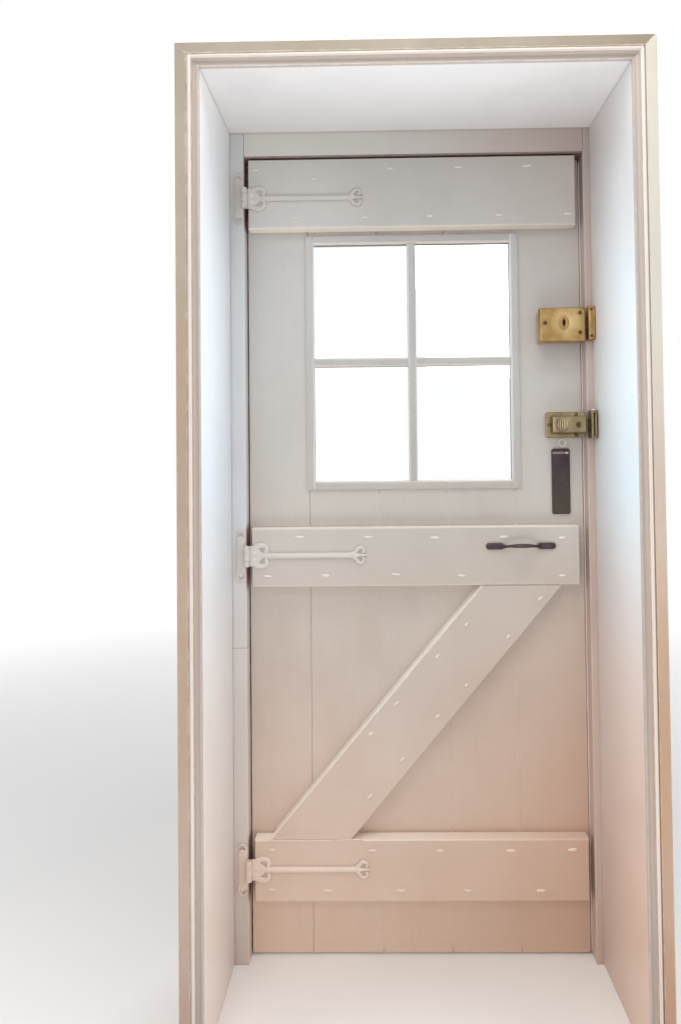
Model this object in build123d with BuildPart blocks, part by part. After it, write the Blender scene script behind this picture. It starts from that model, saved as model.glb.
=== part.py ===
from build123d import *
from math import atan2, degrees, pi, radians, sin, sqrt
import os

# A single-leaf ledged and braced cottage door, seen from the room, with its frame, its deep
# reveal lining and its architrave. X runs to the right, Y into the wall and away from the room,
# Z up from the floor. The origin is on the floor, midway across the architrave and midway
# through the depth of the whole doorset. Everything is in millimetres.

# Leaf
leaf_width = 811
leaf_height = 1913
board_thickness = 22
ledge_thickness = 35
floor_gap = 7
hinge_gap = 3
lock_gap = 4
head_gap = 4
first_board_width = 147
second_board_width = 169
third_board_width = 166
fourth_board_width = 165
tongue_thickness = 6
tongue_length = 7
groove_clearance = 0.3
board_gap = 0.4
board_bevel = 1.6

# Ledges and brace
top_ledge_width = 168
top_ledge_inset_left = 7
top_ledge_inset_right = 15
top_ledge_drop = 1
middle_ledge_width = 139
middle_ledge_height = 889
middle_ledge_inset_left = 10
middle_ledge_inset_right = 19
bottom_ledge_width = 144
bottom_ledge_height = 147
bottom_ledge_inset_left = 12
bottom_ledge_inset_right = 9
ledge_chamfer = 2.5
brace_width = 145
brace_setback = 1
brace_foot_inset = 52
brace_head_inset = 562

# Clenched nails, which show as painted-over ovals
nail_length = 20
nail_height = 6.5
nail_proud = 1.6
nail_taper = 38
nail_row_inset = 25
nail_stagger = 48
brace_nail_offset = 48
brace_right_first_rise = 94
brace_right_last_drop = 32
brace_right_count = 6
brace_left_first_rise = 245
brace_left_last_drop = 91
brace_left_count = 4

# Frame, lining and architrave
frame_depth = 100
post_width = 75
stop_width = 12
stop_clearance = 1
post_chamfer = 2
head_show = 65
hinge_show = 38
lock_show = 21
reveal_depth = 296
lining_thickness = 20
architrave_width = 46
architrave_thickness = 18
architrave_edge = 8
architrave_fillet = 3
architrave_hollow = 10
architrave_bead = 7
architrave_bead_rise = 3
architrave_quirk = 2
architrave_quirk_depth = 5
architrave_arris = 2
tenon_length = 40
tenon_thickness = 22
tenon_inset = 14
tenon_clearance = 0.2

# Fixed sash with four panes, let into the boards between the top and the middle ledge
sash_past_first_joint = 6
sash_past_fourth_joint = 14
sash_above_middle_ledge = 90
sash_below_top_ledge = 11
bar_width = 20
sash_face = 20
sash_proud = 6
sash_clearance = 0.3
glass_thickness = 4
glass_setback = 14
glass_rebate = 6
glass_clearance = 0.5
sash_bevel = 4

# Strap hinges
pin_radius = 3.5
pin_clearance = 0.05
pin_end = 2
knuckle_radius = 7.5
knuckle_lift = 0.6
knuckle_length = 48
leaf_knuckle_length = 22
knuckle_end_gap = 0.4
plate_thickness = 4
strap_length = 290
strap_bar_height = 17
strap_bar_proud = 7.5
strap_bar_start = 46
strap_bar_end_inset = 28
strap_bar_stop = 12
strap_root_length = 10
strap_eye_shift = 2
strap_curl_radius = 12
strap_curl_reach = 37
strap_curl_spread = 16
strap_eye_radius = 4
strap_tip_radius = 8.5
strap_tip_spread = 15
strap_tip_eye_radius = 3.2
strap_tongue_width = 9
strap_screw_reach = 18
strap_screw_spread = 8
frame_plate_reach = 15
frame_plate_width = 13
frame_plate_spread = 45
frame_plate_curl_radius = 9.5
top_hinge_below_leaf_top = 96
middle_hinge_above_ledge = 74
bottom_hinge_above_ledge = 76
screw_head_radius = 4
screw_shank_radius = 2
screw_length = 22
screw_fit = 0.05
round_head_height = 2
round_head_crown = 2.6

# Pull handle
pull_length = 166
pull_pad_length = 43
pull_pad_width = 17
pull_pad_thickness = 3.5
pull_bow = 34
pull_grip_radius = 4.2
pull_grip_swell = 6
pull_grip_sides = 10
pull_grip_steps = 8
pull_pad_bevel = 1
pull_centre_inset = 159
pull_above_ledge = 92

# Rim deadlock, its keep and its packing block
rim_case_width = 106
rim_case_above_key = 36
rim_case_below_key = 44
rim_case_depth = 24
rim_case_wall = 2
rim_case_bevel = 2
rim_key_height = 1509
rim_key_from_left = 55
lock_end_inset = 3
rim_bolt_height = 22
rim_bolt_thickness = 9
rim_bolt_length = 40
rim_bolt_clearance = 0.4
rim_bolt_setback = 1
rim_screw_inset_left = 11
rim_screw_inset_right = 13
rim_screw_spread = 23
rim_screw_length = 46
lever_count = 3
lever_thickness = 1.6
lever_pitch = 3
lever_length = 42
lever_height = 16
lever_pivot_radius = 3
lever_pivot_from_left = 22
lever_above_key = 5
escutcheon_width = 24
escutcheon_height = 34
escutcheon_thickness = 2.5
escutcheon_bevel = 1.2
keyhole_width = 3.6
keyhole_height = 13
keyhole_round_radius = 3
rim_keep_proud = 25
rim_keep_height = 79
keep_wall = 2.5
keep_edge_clearance = 0.5
keep_lining_clearance = 0.5
keep_mouth_clearance = 1.5
keep_corner = 4
keep_screw_inset = 8
keep_screw_length = 46

# Night latch, its keep and its packing block
latch_height = 1268
latch_plate_width = 93
latch_plate_height = 62
latch_plate_thickness = 8
latch_plate_corner = 5
latch_plate_bevel = 2
latch_case_from_left = 12
latch_case_from_right = 3
latch_case_from_top = 12
latch_case_proud = 32
latch_case_wall = 2.5
latch_case_bevel = 2
latch_bolt_height = 18
latch_bolt_thickness = 11
latch_bolt_length = 38
latch_bolt_nose = 8
latch_knob_from_left = 33
latch_knob_width = 24
latch_knob_height = 32
latch_knob_thickness = 4
latch_knob_bevel = 1.5
latch_knob_gap = 0.6
latch_blade_width = 4.5
latch_blade_height = 27
latch_blade_proud = 12
latch_spindle_radius = 4
latch_spindle_length = 12
latch_snib_from_left = 71
latch_snib_radius = 5.5
latch_snib_proud = 3
latch_snib_crown = 4.7
latch_snib_stem_radius = 2.2
latch_snib_travel = 5
latch_snib_clearance = 0.4
latch_screw_inset = 7
latch_screw_from_top = 6
latch_screw_length = 30
latch_keep_proud = 35
latch_keep_height = 66
cylinder_radius = 16
cylinder_length = 34
cylinder_rim_radius = 21
cylinder_rim_proud = 6
cylinder_clearance = 0.4
cylinder_tail_width = 6
cylinder_tail_thickness = 2
cylinder_keyway_width = 3
cylinder_keyway_height = 9
block_margin = 2

# Key hook and slim dark plate below the night latch
hook_wire_radius = 1.3
hook_ring_radius = 8
hook_stand_off = 7
hook_inset = 50
hook_below_plate = 1.7
hook_shank_length = 12
dark_plate_width = 44
dark_plate_thickness = 5
dark_plate_corner = 6
dark_plate_bevel = 1.2
dark_plate_inset = 53
dark_plate_below_hook = 4.7
dark_plate_above_ledge = 25

# Planes through the depth, from the room to the outside
front_y = -(architrave_thickness + reveal_depth + frame_depth) / 2
wall_y = front_y + architrave_thickness
face_y = wall_y + reveal_depth
board_y = face_y + ledge_thickness
leaf_back_y = board_y + board_thickness
stop_y = leaf_back_y + stop_clearance
back_y = face_y + frame_depth

# Places across the width and up the height
lining_clear_width = hinge_show + leaf_width + lock_show
lining_x = lining_clear_width / 2
leaf_left = -lining_x + hinge_show
leaf_right = leaf_left + leaf_width
leaf_top = floor_gap + leaf_height
soffit_z = leaf_top + head_show
head_top = soffit_z + lining_thickness
hinge_rebate_x = leaf_left - hinge_gap
lock_rebate_x = leaf_right + lock_gap
head_rebate_z = leaf_top + head_gap
post_reach = post_width - stop_width

# Places of the hardware
ledge_top_z = leaf_top - top_ledge_drop - top_ledge_width
pin_x = leaf_left - hinge_gap / 2
pin_y = face_y - knuckle_radius - knuckle_lift
hinge_heights = {
    "top": leaf_top - top_hinge_below_leaf_top,
    "middle": middle_ledge_height + middle_hinge_above_ledge,
    "bottom": bottom_ledge_height + bottom_hinge_above_ledge,
}
strap_bar_end = strap_length - strap_bar_end_inset
strap_screw_spots = (
    (strap_screw_reach, strap_screw_spread),
    (strap_screw_reach, -strap_screw_spread),
    (strap_bar_end, 0),
)
frame_plate_x = pin_x - frame_plate_reach
frame_plate_screws = [
    (frame_plate_x, height + rise)
    for height in hinge_heights.values()
    for rise in (frame_plate_spread, -frame_plate_spread)
]
rim_right = leaf_right - lock_end_inset
rim_left = rim_right - rim_case_width
rim_key_x = rim_left + rim_key_from_left
rim_top = rim_key_height + rim_case_above_key
rim_bottom = rim_key_height - rim_case_below_key
rim_front_y = face_y - rim_case_depth
rim_screw_spots = (
    (rim_left + rim_screw_inset_left, rim_key_height),
    (rim_right - rim_screw_inset_right, rim_key_height + rim_screw_spread),
    (rim_right - rim_screw_inset_right, rim_key_height - rim_screw_spread),
)
latch_right = leaf_right - lock_end_inset
latch_left = latch_right - latch_plate_width
latch_knob_x = latch_left + latch_knob_from_left
latch_snib_x = latch_left + latch_snib_from_left
latch_screw_spread = latch_plate_height / 2 - latch_screw_from_top
latch_screw_spots = (
    (latch_left + latch_screw_inset, latch_height),
    (latch_snib_x, latch_height + latch_screw_spread),
    (latch_snib_x, latch_height - latch_screw_spread),
)
hook_x = leaf_right - hook_inset
hook_reach = hook_ring_radius + hook_wire_radius
hook_z = latch_height - latch_plate_height / 2 - hook_below_plate - hook_reach
keep_left = lock_rebate_x + keep_edge_clearance
keep_right = lining_x - keep_lining_clearance
keep_x = (keep_left + keep_right) / 2
keep_screw_spots = {
    "rim_lock_keep": [
        (keep_x, rim_key_height + side * (rim_keep_height / 2 - keep_screw_inset)) for side in (1, -1)
    ],
    "night_latch_keep": [
        (keep_x, latch_height + side * (latch_keep_height / 2 - keep_screw_inset)) for side in (1, -1)
    ],
}

finished = {}


def room_plane(y):
    """A plane facing the room at depth y, with local x along X and local y along Z."""
    return Plane.XZ.offset(-y)


def room_spot(x, y, z):
    """A plane at one spot, with its normal to the room."""
    return Plane(origin=(x, y, z), x_dir=(1, 0, 0), z_dir=(0, -1, 0))


def keep_piece(name, builder):
    """Note a finished piece under the name of its file."""
    finished[name] = builder.part


# Frame posts, with a rebate for the leaf, a mortise for the head and bores for screws
post_screws = {
    "hinge_post": frame_plate_screws,
    "lock_post": keep_screw_spots["rim_lock_keep"] + keep_screw_spots["night_latch_keep"],
}
post_screw_depths = {"hinge_post": screw_length, "lock_post": keep_screw_length}
for name, side, rebate_x in (("hinge_post", -1, hinge_rebate_x), ("lock_post", 1, lock_rebate_x)):
    outer_x = rebate_x + side * post_reach
    stop_x = rebate_x - side * stop_width
    with BuildPart() as post:
        with BuildSketch(Plane.XY):
            with BuildLine():
                Polyline(
                    (outer_x, face_y),
                    (rebate_x + side * post_chamfer, face_y),
                    (rebate_x, face_y + post_chamfer),
                    (rebate_x, stop_y),
                    (stop_x, stop_y),
                    (stop_x, back_y),
                    (outer_x, back_y),
                    close=True,
                )
            make_face()
        extrude(amount=head_top)
        mortise_height = head_top - head_rebate_z - 2 * tenon_inset + 2 * tenon_clearance
        mortise_x = stop_x + side * (stop_width + tenon_length + tenon_clearance) / 2
        mortise_z = (head_top + head_rebate_z) / 2
        with Locations((mortise_x, (stop_y + back_y) / 2, mortise_z)):
            Box(
                stop_width + tenon_length + tenon_clearance,
                tenon_thickness + 2 * tenon_clearance,
                mortise_height,
                mode=Mode.SUBTRACT,
            )
        with BuildSketch(room_plane(face_y)):
            with Locations(*post_screws[name]):
                Circle(screw_shank_radius + screw_fit)
        extrude(amount=-post_screw_depths[name], mode=Mode.SUBTRACT)
    keep_piece(name, post)

# Frame head, between the posts, with the stop across it and a tenon at each end
with BuildPart() as frame_head:
    with BuildSketch(Plane.YZ.offset(hinge_rebate_x)):
        with BuildLine():
            Polyline(
                (face_y, head_rebate_z + post_chamfer),
                (face_y + post_chamfer, head_rebate_z),
                (stop_y, head_rebate_z),
                (stop_y, head_rebate_z - stop_width),
                (back_y, head_rebate_z - stop_width),
                (back_y, head_top),
                (face_y, head_top),
                close=True,
            )
        make_face()
    extrude(amount=lock_rebate_x - hinge_rebate_x)
    for side, rebate_x in ((-1, hinge_rebate_x), (1, lock_rebate_x)):
        stop_height = head_top - head_rebate_z + stop_width
        stop_x = rebate_x - side * stop_width / 2
        with Locations((stop_x, (stop_y + back_y) / 2, head_top - stop_height / 2)):
            Box(stop_width, back_y - stop_y, stop_height, mode=Mode.SUBTRACT)
        tenon_x = rebate_x + side * (tenon_length - stop_width) / 2
        with Locations((tenon_x, (stop_y + back_y) / 2, (head_top + head_rebate_z) / 2)):
            Box(
                tenon_length + stop_width,
                tenon_thickness,
                head_top - head_rebate_z - 2 * tenon_inset,
            )
keep_piece("frame_head", frame_head)

# Reveal lining: two side boards and a soffit board laid on them
for name, side in (("lining_left", -1), ("lining_right", 1)):
    with BuildPart() as lining:
        with Locations((side * (lining_x + lining_thickness / 2), (wall_y + face_y) / 2, soffit_z / 2)):
            Box(lining_thickness, reveal_depth, soffit_z)
    keep_piece(name, lining)

with BuildPart() as lining_soffit:
    with Locations((0, (wall_y + face_y) / 2, soffit_z + lining_thickness / 2)):
        Box(lining_clear_width + 2 * lining_thickness, reveal_depth, lining_thickness)
keep_piece("lining_soffit", lining_soffit)


def architrave_outline(place):
    """The moulding's section: place(u, v) turns width from the inner edge and height off the wall
    into the two coordinates of the sketch."""
    hollow_start = architrave_fillet
    hollow_end = hollow_start + architrave_hollow
    hollow_top = architrave_thickness - architrave_bead_rise
    hollow_rise = hollow_top - architrave_edge
    slack = 1 - sqrt(0.5)
    hollow_middle = (hollow_end - slack * architrave_hollow, architrave_edge + slack * hollow_rise)
    bead_start = hollow_end + architrave_fillet / 2
    bead_end = bead_start + architrave_bead
    quirk_end = bead_end + architrave_quirk
    quirk_depth = architrave_quirk_depth
    arris = architrave_arris
    with BuildLine() as outline:
        Polyline(place(0, 0), place(0, architrave_edge), place(hollow_start, architrave_edge))
        ThreePointArc(
            place(hollow_start, architrave_edge), place(*hollow_middle), place(hollow_end, hollow_top)
        )
        Line(place(hollow_end, hollow_top), place(bead_start, hollow_top))
        ThreePointArc(
            place(bead_start, hollow_top),
            place((bead_start + bead_end) / 2, architrave_thickness),
            place(bead_end, hollow_top),
        )
        Polyline(
            place(bead_end, hollow_top),
            place(bead_end, architrave_thickness - quirk_depth),
            place(quirk_end, architrave_thickness - quirk_depth),
            place(quirk_end, architrave_thickness),
            place(architrave_width - arris, architrave_thickness),
            place(architrave_width, architrave_thickness - arris),
            place(architrave_width, 0),
            place(0, 0),
        )
    make_face(outline.edges())


# Architrave sides, mitred at the top
for name, side in (("architrave_left", -1), ("architrave_right", 1)):
    with BuildPart() as architrave_side:
        with BuildSketch(Plane.XY):
            architrave_outline(lambda u, v: (side * (lining_x + u), wall_y - v))
        extrude(amount=soffit_z + architrave_width)
        split(bisect_by=Plane(origin=(side * lining_x, 0, soffit_z), z_dir=(side, 0, -1)), keep=Keep.TOP)
    keep_piece(name, architrave_side)

# Architrave head, mitred at both ends
with BuildPart() as architrave_head:
    with BuildSketch(Plane.YZ):
        architrave_outline(lambda u, v: (wall_y - v, soffit_z + u))
    extrude(amount=lining_x + architrave_width, both=True)
    for side in (-1, 1):
        split(bisect_by=Plane(origin=(side * lining_x, 0, soffit_z), z_dir=(-side, 0, 1)), keep=Keep.TOP)
keep_piece("architrave_head", architrave_head)

def keyhole_outline():
    """A keyhole: a round head over a narrow slot."""
    round_rise = keyhole_height / 2 - keyhole_round_radius
    with Locations((0, round_rise)):
        Circle(keyhole_round_radius)
    with Locations((0, round_rise / 2 - keyhole_height / 4)):
        Rectangle(keyhole_width, keyhole_height / 2 + round_rise)


# Joints of the boards, and the sash opening through the three middle boards
board_edges = [leaf_left]
for width in (first_board_width, second_board_width, third_board_width, fourth_board_width):
    board_edges.append(board_edges[-1] + width)
board_edges.append(leaf_right)
board_count = len(board_edges) - 1
board_centre_y = (board_y + leaf_back_y) / 2
sash_left = board_edges[1] - sash_past_first_joint
sash_right = board_edges[4] + sash_past_fourth_joint
sash_bottom = middle_ledge_height + middle_ledge_width + sash_above_middle_ledge
sash_top = ledge_top_z - sash_below_top_ledge
sash_width = sash_right - sash_left
sash_height = sash_top - sash_bottom
pane_width = (sash_width - bar_width) / 2 - sash_face
pane_height = (sash_height - bar_width) / 2 - sash_face
sash_x = (sash_left + sash_right) / 2
sash_z = (sash_bottom + sash_top) / 2
sash_front_y = board_y - sash_proud
opening_left = sash_left - sash_clearance
opening_right = sash_right + sash_clearance
opening_bottom = sash_bottom - sash_clearance
opening_top = sash_top + sash_clearance
crossed = [
    index for index in range(board_count)
    if board_edges[index] >= opening_left and board_edges[index + 1] + tongue_length <= opening_right
]


def board_length(index, low_z, high_z):
    """Add one board, or a length of it, between two heights."""
    left_x = board_edges[index] + (board_gap / 2 if index > 0 else 0)
    right_x = board_edges[index + 1] - (board_gap / 2 if index < board_count - 1 else 0)
    with BuildSketch(Plane.XY.offset(low_z)) as section:
        with Locations(((left_x + right_x) / 2, board_centre_y)):
            Rectangle(right_x - left_x, board_thickness)
        chamfer(section.vertices().group_by(Axis.Y)[0], length=board_bevel)
        if index < board_count - 1:
            with Locations((right_x + tongue_length / 2, board_centre_y)):
                Rectangle(tongue_length, tongue_thickness)
        if index > 0:
            groove_depth = tongue_length + groove_clearance
            with Locations((left_x + groove_depth / 2, board_centre_y)):
                Rectangle(groove_depth, tongue_thickness + 2 * groove_clearance, mode=Mode.SUBTRACT)
    extrude(section.sketch, amount=high_z - low_z)


# Boards, tongued and grooved, with a small bevel at each joint
for index in range(board_count):
    with BuildPart() as board:
        board_length(index, floor_gap, opening_bottom if index in crossed else leaf_top)
        with Locations((sash_x, board_centre_y, sash_z)):
            Box(
                opening_right - opening_left,
                2 * board_thickness,
                opening_top - opening_bottom,
                mode=Mode.SUBTRACT,
            )
        if index == board_count - 1:
            with BuildSketch(room_plane(leaf_back_y)):
                with Locations((rim_key_x, rim_key_height)):
                    keyhole_outline()
                with Locations((latch_knob_x, latch_height)):
                    Circle(cylinder_radius + cylinder_clearance)
            extrude(amount=board_thickness, mode=Mode.SUBTRACT)
            with BuildSketch(room_plane(board_y)):
                with Locations((hook_x, hook_z + hook_ring_radius)):
                    Circle(hook_wire_radius + screw_fit)
            extrude(amount=-hook_shank_length, mode=Mode.SUBTRACT)
    keep_piece(f"board_{index + 1}", board)

with BuildPart() as boards_above_window:
    for index in crossed:
        board_length(index, opening_top, leaf_top)
keep_piece("boards_above_window", boards_above_window)

# Ledges, across the boards on the room side
ledges = {
    "ledge_top": (ledge_top_z, top_ledge_width, top_ledge_inset_left, top_ledge_inset_right),
    "ledge_middle": (
        middle_ledge_height, middle_ledge_width, middle_ledge_inset_left, middle_ledge_inset_right
    ),
    "ledge_bottom": (
        bottom_ledge_height, bottom_ledge_width, bottom_ledge_inset_left, bottom_ledge_inset_right
    ),
}
ledge_hinges = {"ledge_top": "top", "ledge_middle": "middle", "ledge_bottom": "bottom"}
for name, (low_z, height, inset_left, inset_right) in ledges.items():
    left_x = leaf_left + inset_left
    right_x = leaf_right - inset_right
    with BuildPart() as ledge:
        with BuildSketch(room_plane(board_y)):
            with Locations(((left_x + right_x) / 2, low_z + height / 2)):
                Rectangle(right_x - left_x, height)
        extrude(amount=ledge_thickness)
        chamfer(ledge.faces().sort_by(Axis.Y)[0].edges(), length=ledge_chamfer)
        with BuildSketch(room_plane(face_y)):
            for reach, rise in strap_screw_spots:
                with Locations((pin_x + reach, hinge_heights[ledge_hinges[name]] + rise)):
                    Circle(screw_shank_radius + screw_fit)
        extrude(amount=-screw_length, mode=Mode.SUBTRACT)
    keep_piece(name, ledge)

# Brace, rising from the hinge side of the bottom ledge to the middle ledge
brace_low_z = bottom_ledge_height + bottom_ledge_width
brace_high_z = middle_ledge_height
brace_angle = degrees(atan2(brace_high_z - brace_low_z, brace_head_inset - brace_foot_inset))
brace_across = brace_width / sin(radians(brace_angle))
brace_foot_x = leaf_left + brace_foot_inset
brace_head_x = leaf_left + brace_head_inset
brace_face_y = face_y + brace_setback
with BuildPart() as brace:
    with BuildSketch(room_plane(board_y)):
        with BuildLine():
            Polyline(
                (brace_foot_x, brace_low_z),
                (brace_foot_x + brace_across, brace_low_z),
                (brace_head_x + brace_across, brace_high_z),
                (brace_head_x, brace_high_z),
                close=True,
            )
        make_face()
    extrude(amount=board_y - brace_face_y)
    long_edges = brace.faces().sort_by(Axis.Y)[0].edges().sort_by(SortBy.LENGTH)[-2:]
    chamfer(long_edges, length=ledge_chamfer)
keep_piece("brace", brace)


def clench(x, z, y):
    """One nail end, bent over and painted: a low tapered lozenge on the face at depth y."""
    half_length = nail_length / 2
    half_height = nail_height / 2
    with BuildSketch(room_plane(y)) as lozenge:
        with Locations((x, z)):
            Polygon(
                (-half_length, 0),
                (-half_length / 2, -half_height),
                (half_length / 2, -half_height),
                (half_length, 0),
                (half_length / 2, half_height),
                (-half_length / 2, half_height),
            )
    extrude(lozenge.sketch, amount=nail_proud, taper=nail_taper)


# Clenched nails: two for each board in each ledge, staggered, and two rows up the brace
with BuildPart() as clench_nails:
    for name, (low_z, height, inset_left, inset_right) in ledges.items():
        lean = -1 if name == "ledge_top" else 1
        for index in range(board_count):
            centre_x = (board_edges[index] + board_edges[index + 1]) / 2
            clench(centre_x + lean * nail_stagger, low_z + height - nail_row_inset, face_y)
            clench(centre_x - lean * nail_stagger, low_z + nail_row_inset, face_y)
    lean = (brace_head_inset - brace_foot_inset) / (brace_high_z - brace_low_z)
    middle_x = brace_foot_x + brace_across / 2
    offset_x = brace_nail_offset / sin(radians(brace_angle))
    rows = (
        (brace_right_first_rise, brace_right_last_drop, brace_right_count, offset_x),
        (brace_left_first_rise, brace_left_last_drop, brace_left_count, -offset_x),
    )
    for first_rise, last_drop, count, offset in rows:
        pitch = (brace_high_z - brace_low_z - first_rise - last_drop) / (count - 1)
        for step in range(count):
            rise = first_rise + step * pitch
            clench(middle_x + lean * rise + offset, brace_low_z + rise, brace_face_y)
keep_piece("clench_nails", clench_nails)

# Sash: stiles run through, rails and bars between them, glass rebated from the outside
glass_front_y = leaf_back_y - glass_setback
glass_back_y = glass_front_y + glass_thickness
sash_depth = leaf_back_y - sash_front_y


def sash_section(low, high, rebate_low, rebate_high):
    """A sash member's section: low and high across its width, bevelled to the room, with a glass
    rebate from the outside on the sides that hold glass. Local x is width, local y is depth."""
    low_bevel = sash_bevel if rebate_low else 0
    high_bevel = sash_bevel if rebate_high else 0
    low_rebate = glass_rebate if rebate_low else 0
    high_rebate = glass_rebate if rebate_high else 0
    points = [(low + low_bevel, sash_front_y), (high - high_bevel, sash_front_y)]
    if rebate_high:
        points += [
            (high, sash_front_y + sash_bevel),
            (high, glass_front_y),
            (high - high_rebate, glass_front_y),
        ]
    points.append((high - high_rebate, leaf_back_y))
    points.append((low + low_rebate, leaf_back_y))
    if rebate_low:
        points += [
            (low + low_rebate, glass_front_y),
            (low, glass_front_y),
            (low, sash_front_y + sash_bevel),
        ]
    return points


pane_lefts = (sash_left + sash_face, sash_left + sash_face + pane_width + bar_width)
pane_bottoms = (sash_bottom + sash_face, sash_bottom + sash_face + pane_height + bar_width)
stile_spans = {
    "sash_stile_left": (sash_left, sash_left + sash_face, False, True),
    "sash_stile_right": (sash_right - sash_face, sash_right, True, False),
}
for name, (low, high, rebate_low, rebate_high) in stile_spans.items():
    with BuildPart() as stile:
        with BuildSketch(Plane.XY.offset(sash_bottom)):
            with BuildLine():
                Polyline(*sash_section(low, high, rebate_low, rebate_high), close=True)
            make_face()
        extrude(amount=sash_height)
    keep_piece(name, stile)

rail_spans = {
    "sash_rail_bottom": (sash_bottom, sash_bottom + sash_face, False, True),
    "sash_rail_top": (sash_top - sash_face, sash_top, True, False),
}
for name, (low, high, rebate_low, rebate_high) in rail_spans.items():
    with BuildPart() as rail:
        with BuildSketch(Plane.YZ.offset(sash_left + sash_face)):
            with BuildLine():
                Polyline(*[(y, z) for z, y in sash_section(low, high, rebate_low, rebate_high)], close=True)
            make_face()
        extrude(amount=sash_width - 2 * sash_face)
    keep_piece(name, rail)

bar_left = pane_lefts[0] + pane_width
with BuildPart() as glazing_bar_upright:
    with BuildSketch(Plane.XY.offset(pane_bottoms[0])):
        with BuildLine():
            Polyline(*sash_section(bar_left, bar_left + bar_width, True, True), close=True)
        make_face()
    extrude(amount=sash_height - 2 * sash_face)
keep_piece("glazing_bar_upright", glazing_bar_upright)

cross_low = pane_bottoms[0] + pane_height
with BuildPart() as glazing_bars_cross:
    for pane_left in pane_lefts:
        with BuildSketch(Plane.YZ.offset(pane_left)):
            cross_section = sash_section(cross_low, cross_low + bar_width, True, True)
            with BuildLine():
                Polyline(*[(y, z) for z, y in cross_section], close=True)
            make_face()
        extrude(amount=pane_width)
keep_piece("glazing_bars_cross", glazing_bars_cross)

# Panes, and the putty that holds them from the outside
pane_names = (("pane_bottom_left", "pane_top_left"), ("pane_bottom_right", "pane_top_right"))
glass_width = pane_width + 2 * (glass_rebate - glass_clearance)
glass_height = pane_height + 2 * (glass_rebate - glass_clearance)
for column, pane_left in enumerate(pane_lefts):
    for row, pane_bottom in enumerate(pane_bottoms):
        with BuildPart() as pane:
            with BuildSketch(room_plane(glass_back_y)):
                with Locations((pane_left + pane_width / 2, pane_bottom + pane_height / 2)):
                    Rectangle(glass_width, glass_height)
            extrude(amount=glass_thickness)
        keep_piece(pane_names[column][row], pane)

with BuildPart() as glazing_putty:
    for pane_left in pane_lefts:
        for pane_bottom in pane_bottoms:
            with BuildSketch(room_plane(glass_back_y)):
                with Locations((pane_left + pane_width / 2, pane_bottom + pane_height / 2)):
                    Rectangle(glass_width, glass_height)
                    Rectangle(pane_width, pane_height, mode=Mode.SUBTRACT)
            extrude(amount=-(leaf_back_y - glass_back_y))
keep_piece("glazing_putty", glazing_putty)


def knuckle_bore(low_z, length):
    """Clear the pin's hole through a knuckle."""
    with BuildSketch(Plane.XY.offset(low_z)) as disc:
        with Locations((pin_x, pin_y)):
            Circle(pin_radius + pin_clearance)
    extrude(disc.sketch, amount=length, mode=Mode.SUBTRACT)


def knuckle_relief(low_z, length):
    """Clear a plate away from the other half's knuckle."""
    with BuildSketch(Plane.XY.offset(low_z)) as disc:
        with Locations((pin_x, pin_y)):
            Circle(knuckle_radius + knuckle_end_gap)
    extrude(disc.sketch, amount=length, mode=Mode.SUBTRACT)


def knuckle_barrel(low_z, length):
    """Add a length of knuckle round the pin."""
    with BuildSketch(Plane.XY.offset(low_z)) as disc:
        with Locations((pin_x, pin_y)):
            Circle(knuckle_radius)
    extrude(disc.sketch, amount=length)


def sunk_screw(x, z, head_y, length, fit=0, mode=Mode.ADD):
    """A countersunk screw driven away from the room, its head flush at depth head_y. With a fit and
    the subtracting mode it is the hole for one."""
    with Locations(room_spot(x, head_y, z)):
        Cone(
            screw_shank_radius + fit,
            screw_head_radius + fit,
            screw_head_radius - screw_shank_radius,
            align=(Align.CENTER, Align.CENTER, Align.MAX),
            mode=mode,
        )
        Cylinder(
            screw_shank_radius + fit, length, align=(Align.CENTER, Align.CENTER, Align.MAX), mode=mode
        )


def round_screw(x, z, face, length):
    """A round-headed screw driven away from the room through the face at depth face."""
    with Locations(room_spot(x, face, z)):
        Cone(
            screw_head_radius,
            round_head_crown,
            round_head_height,
            align=(Align.CENTER, Align.CENTER, Align.MIN),
        )
        Cylinder(screw_shank_radius, length, align=(Align.CENTER, Align.CENTER, Align.MAX))


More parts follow.
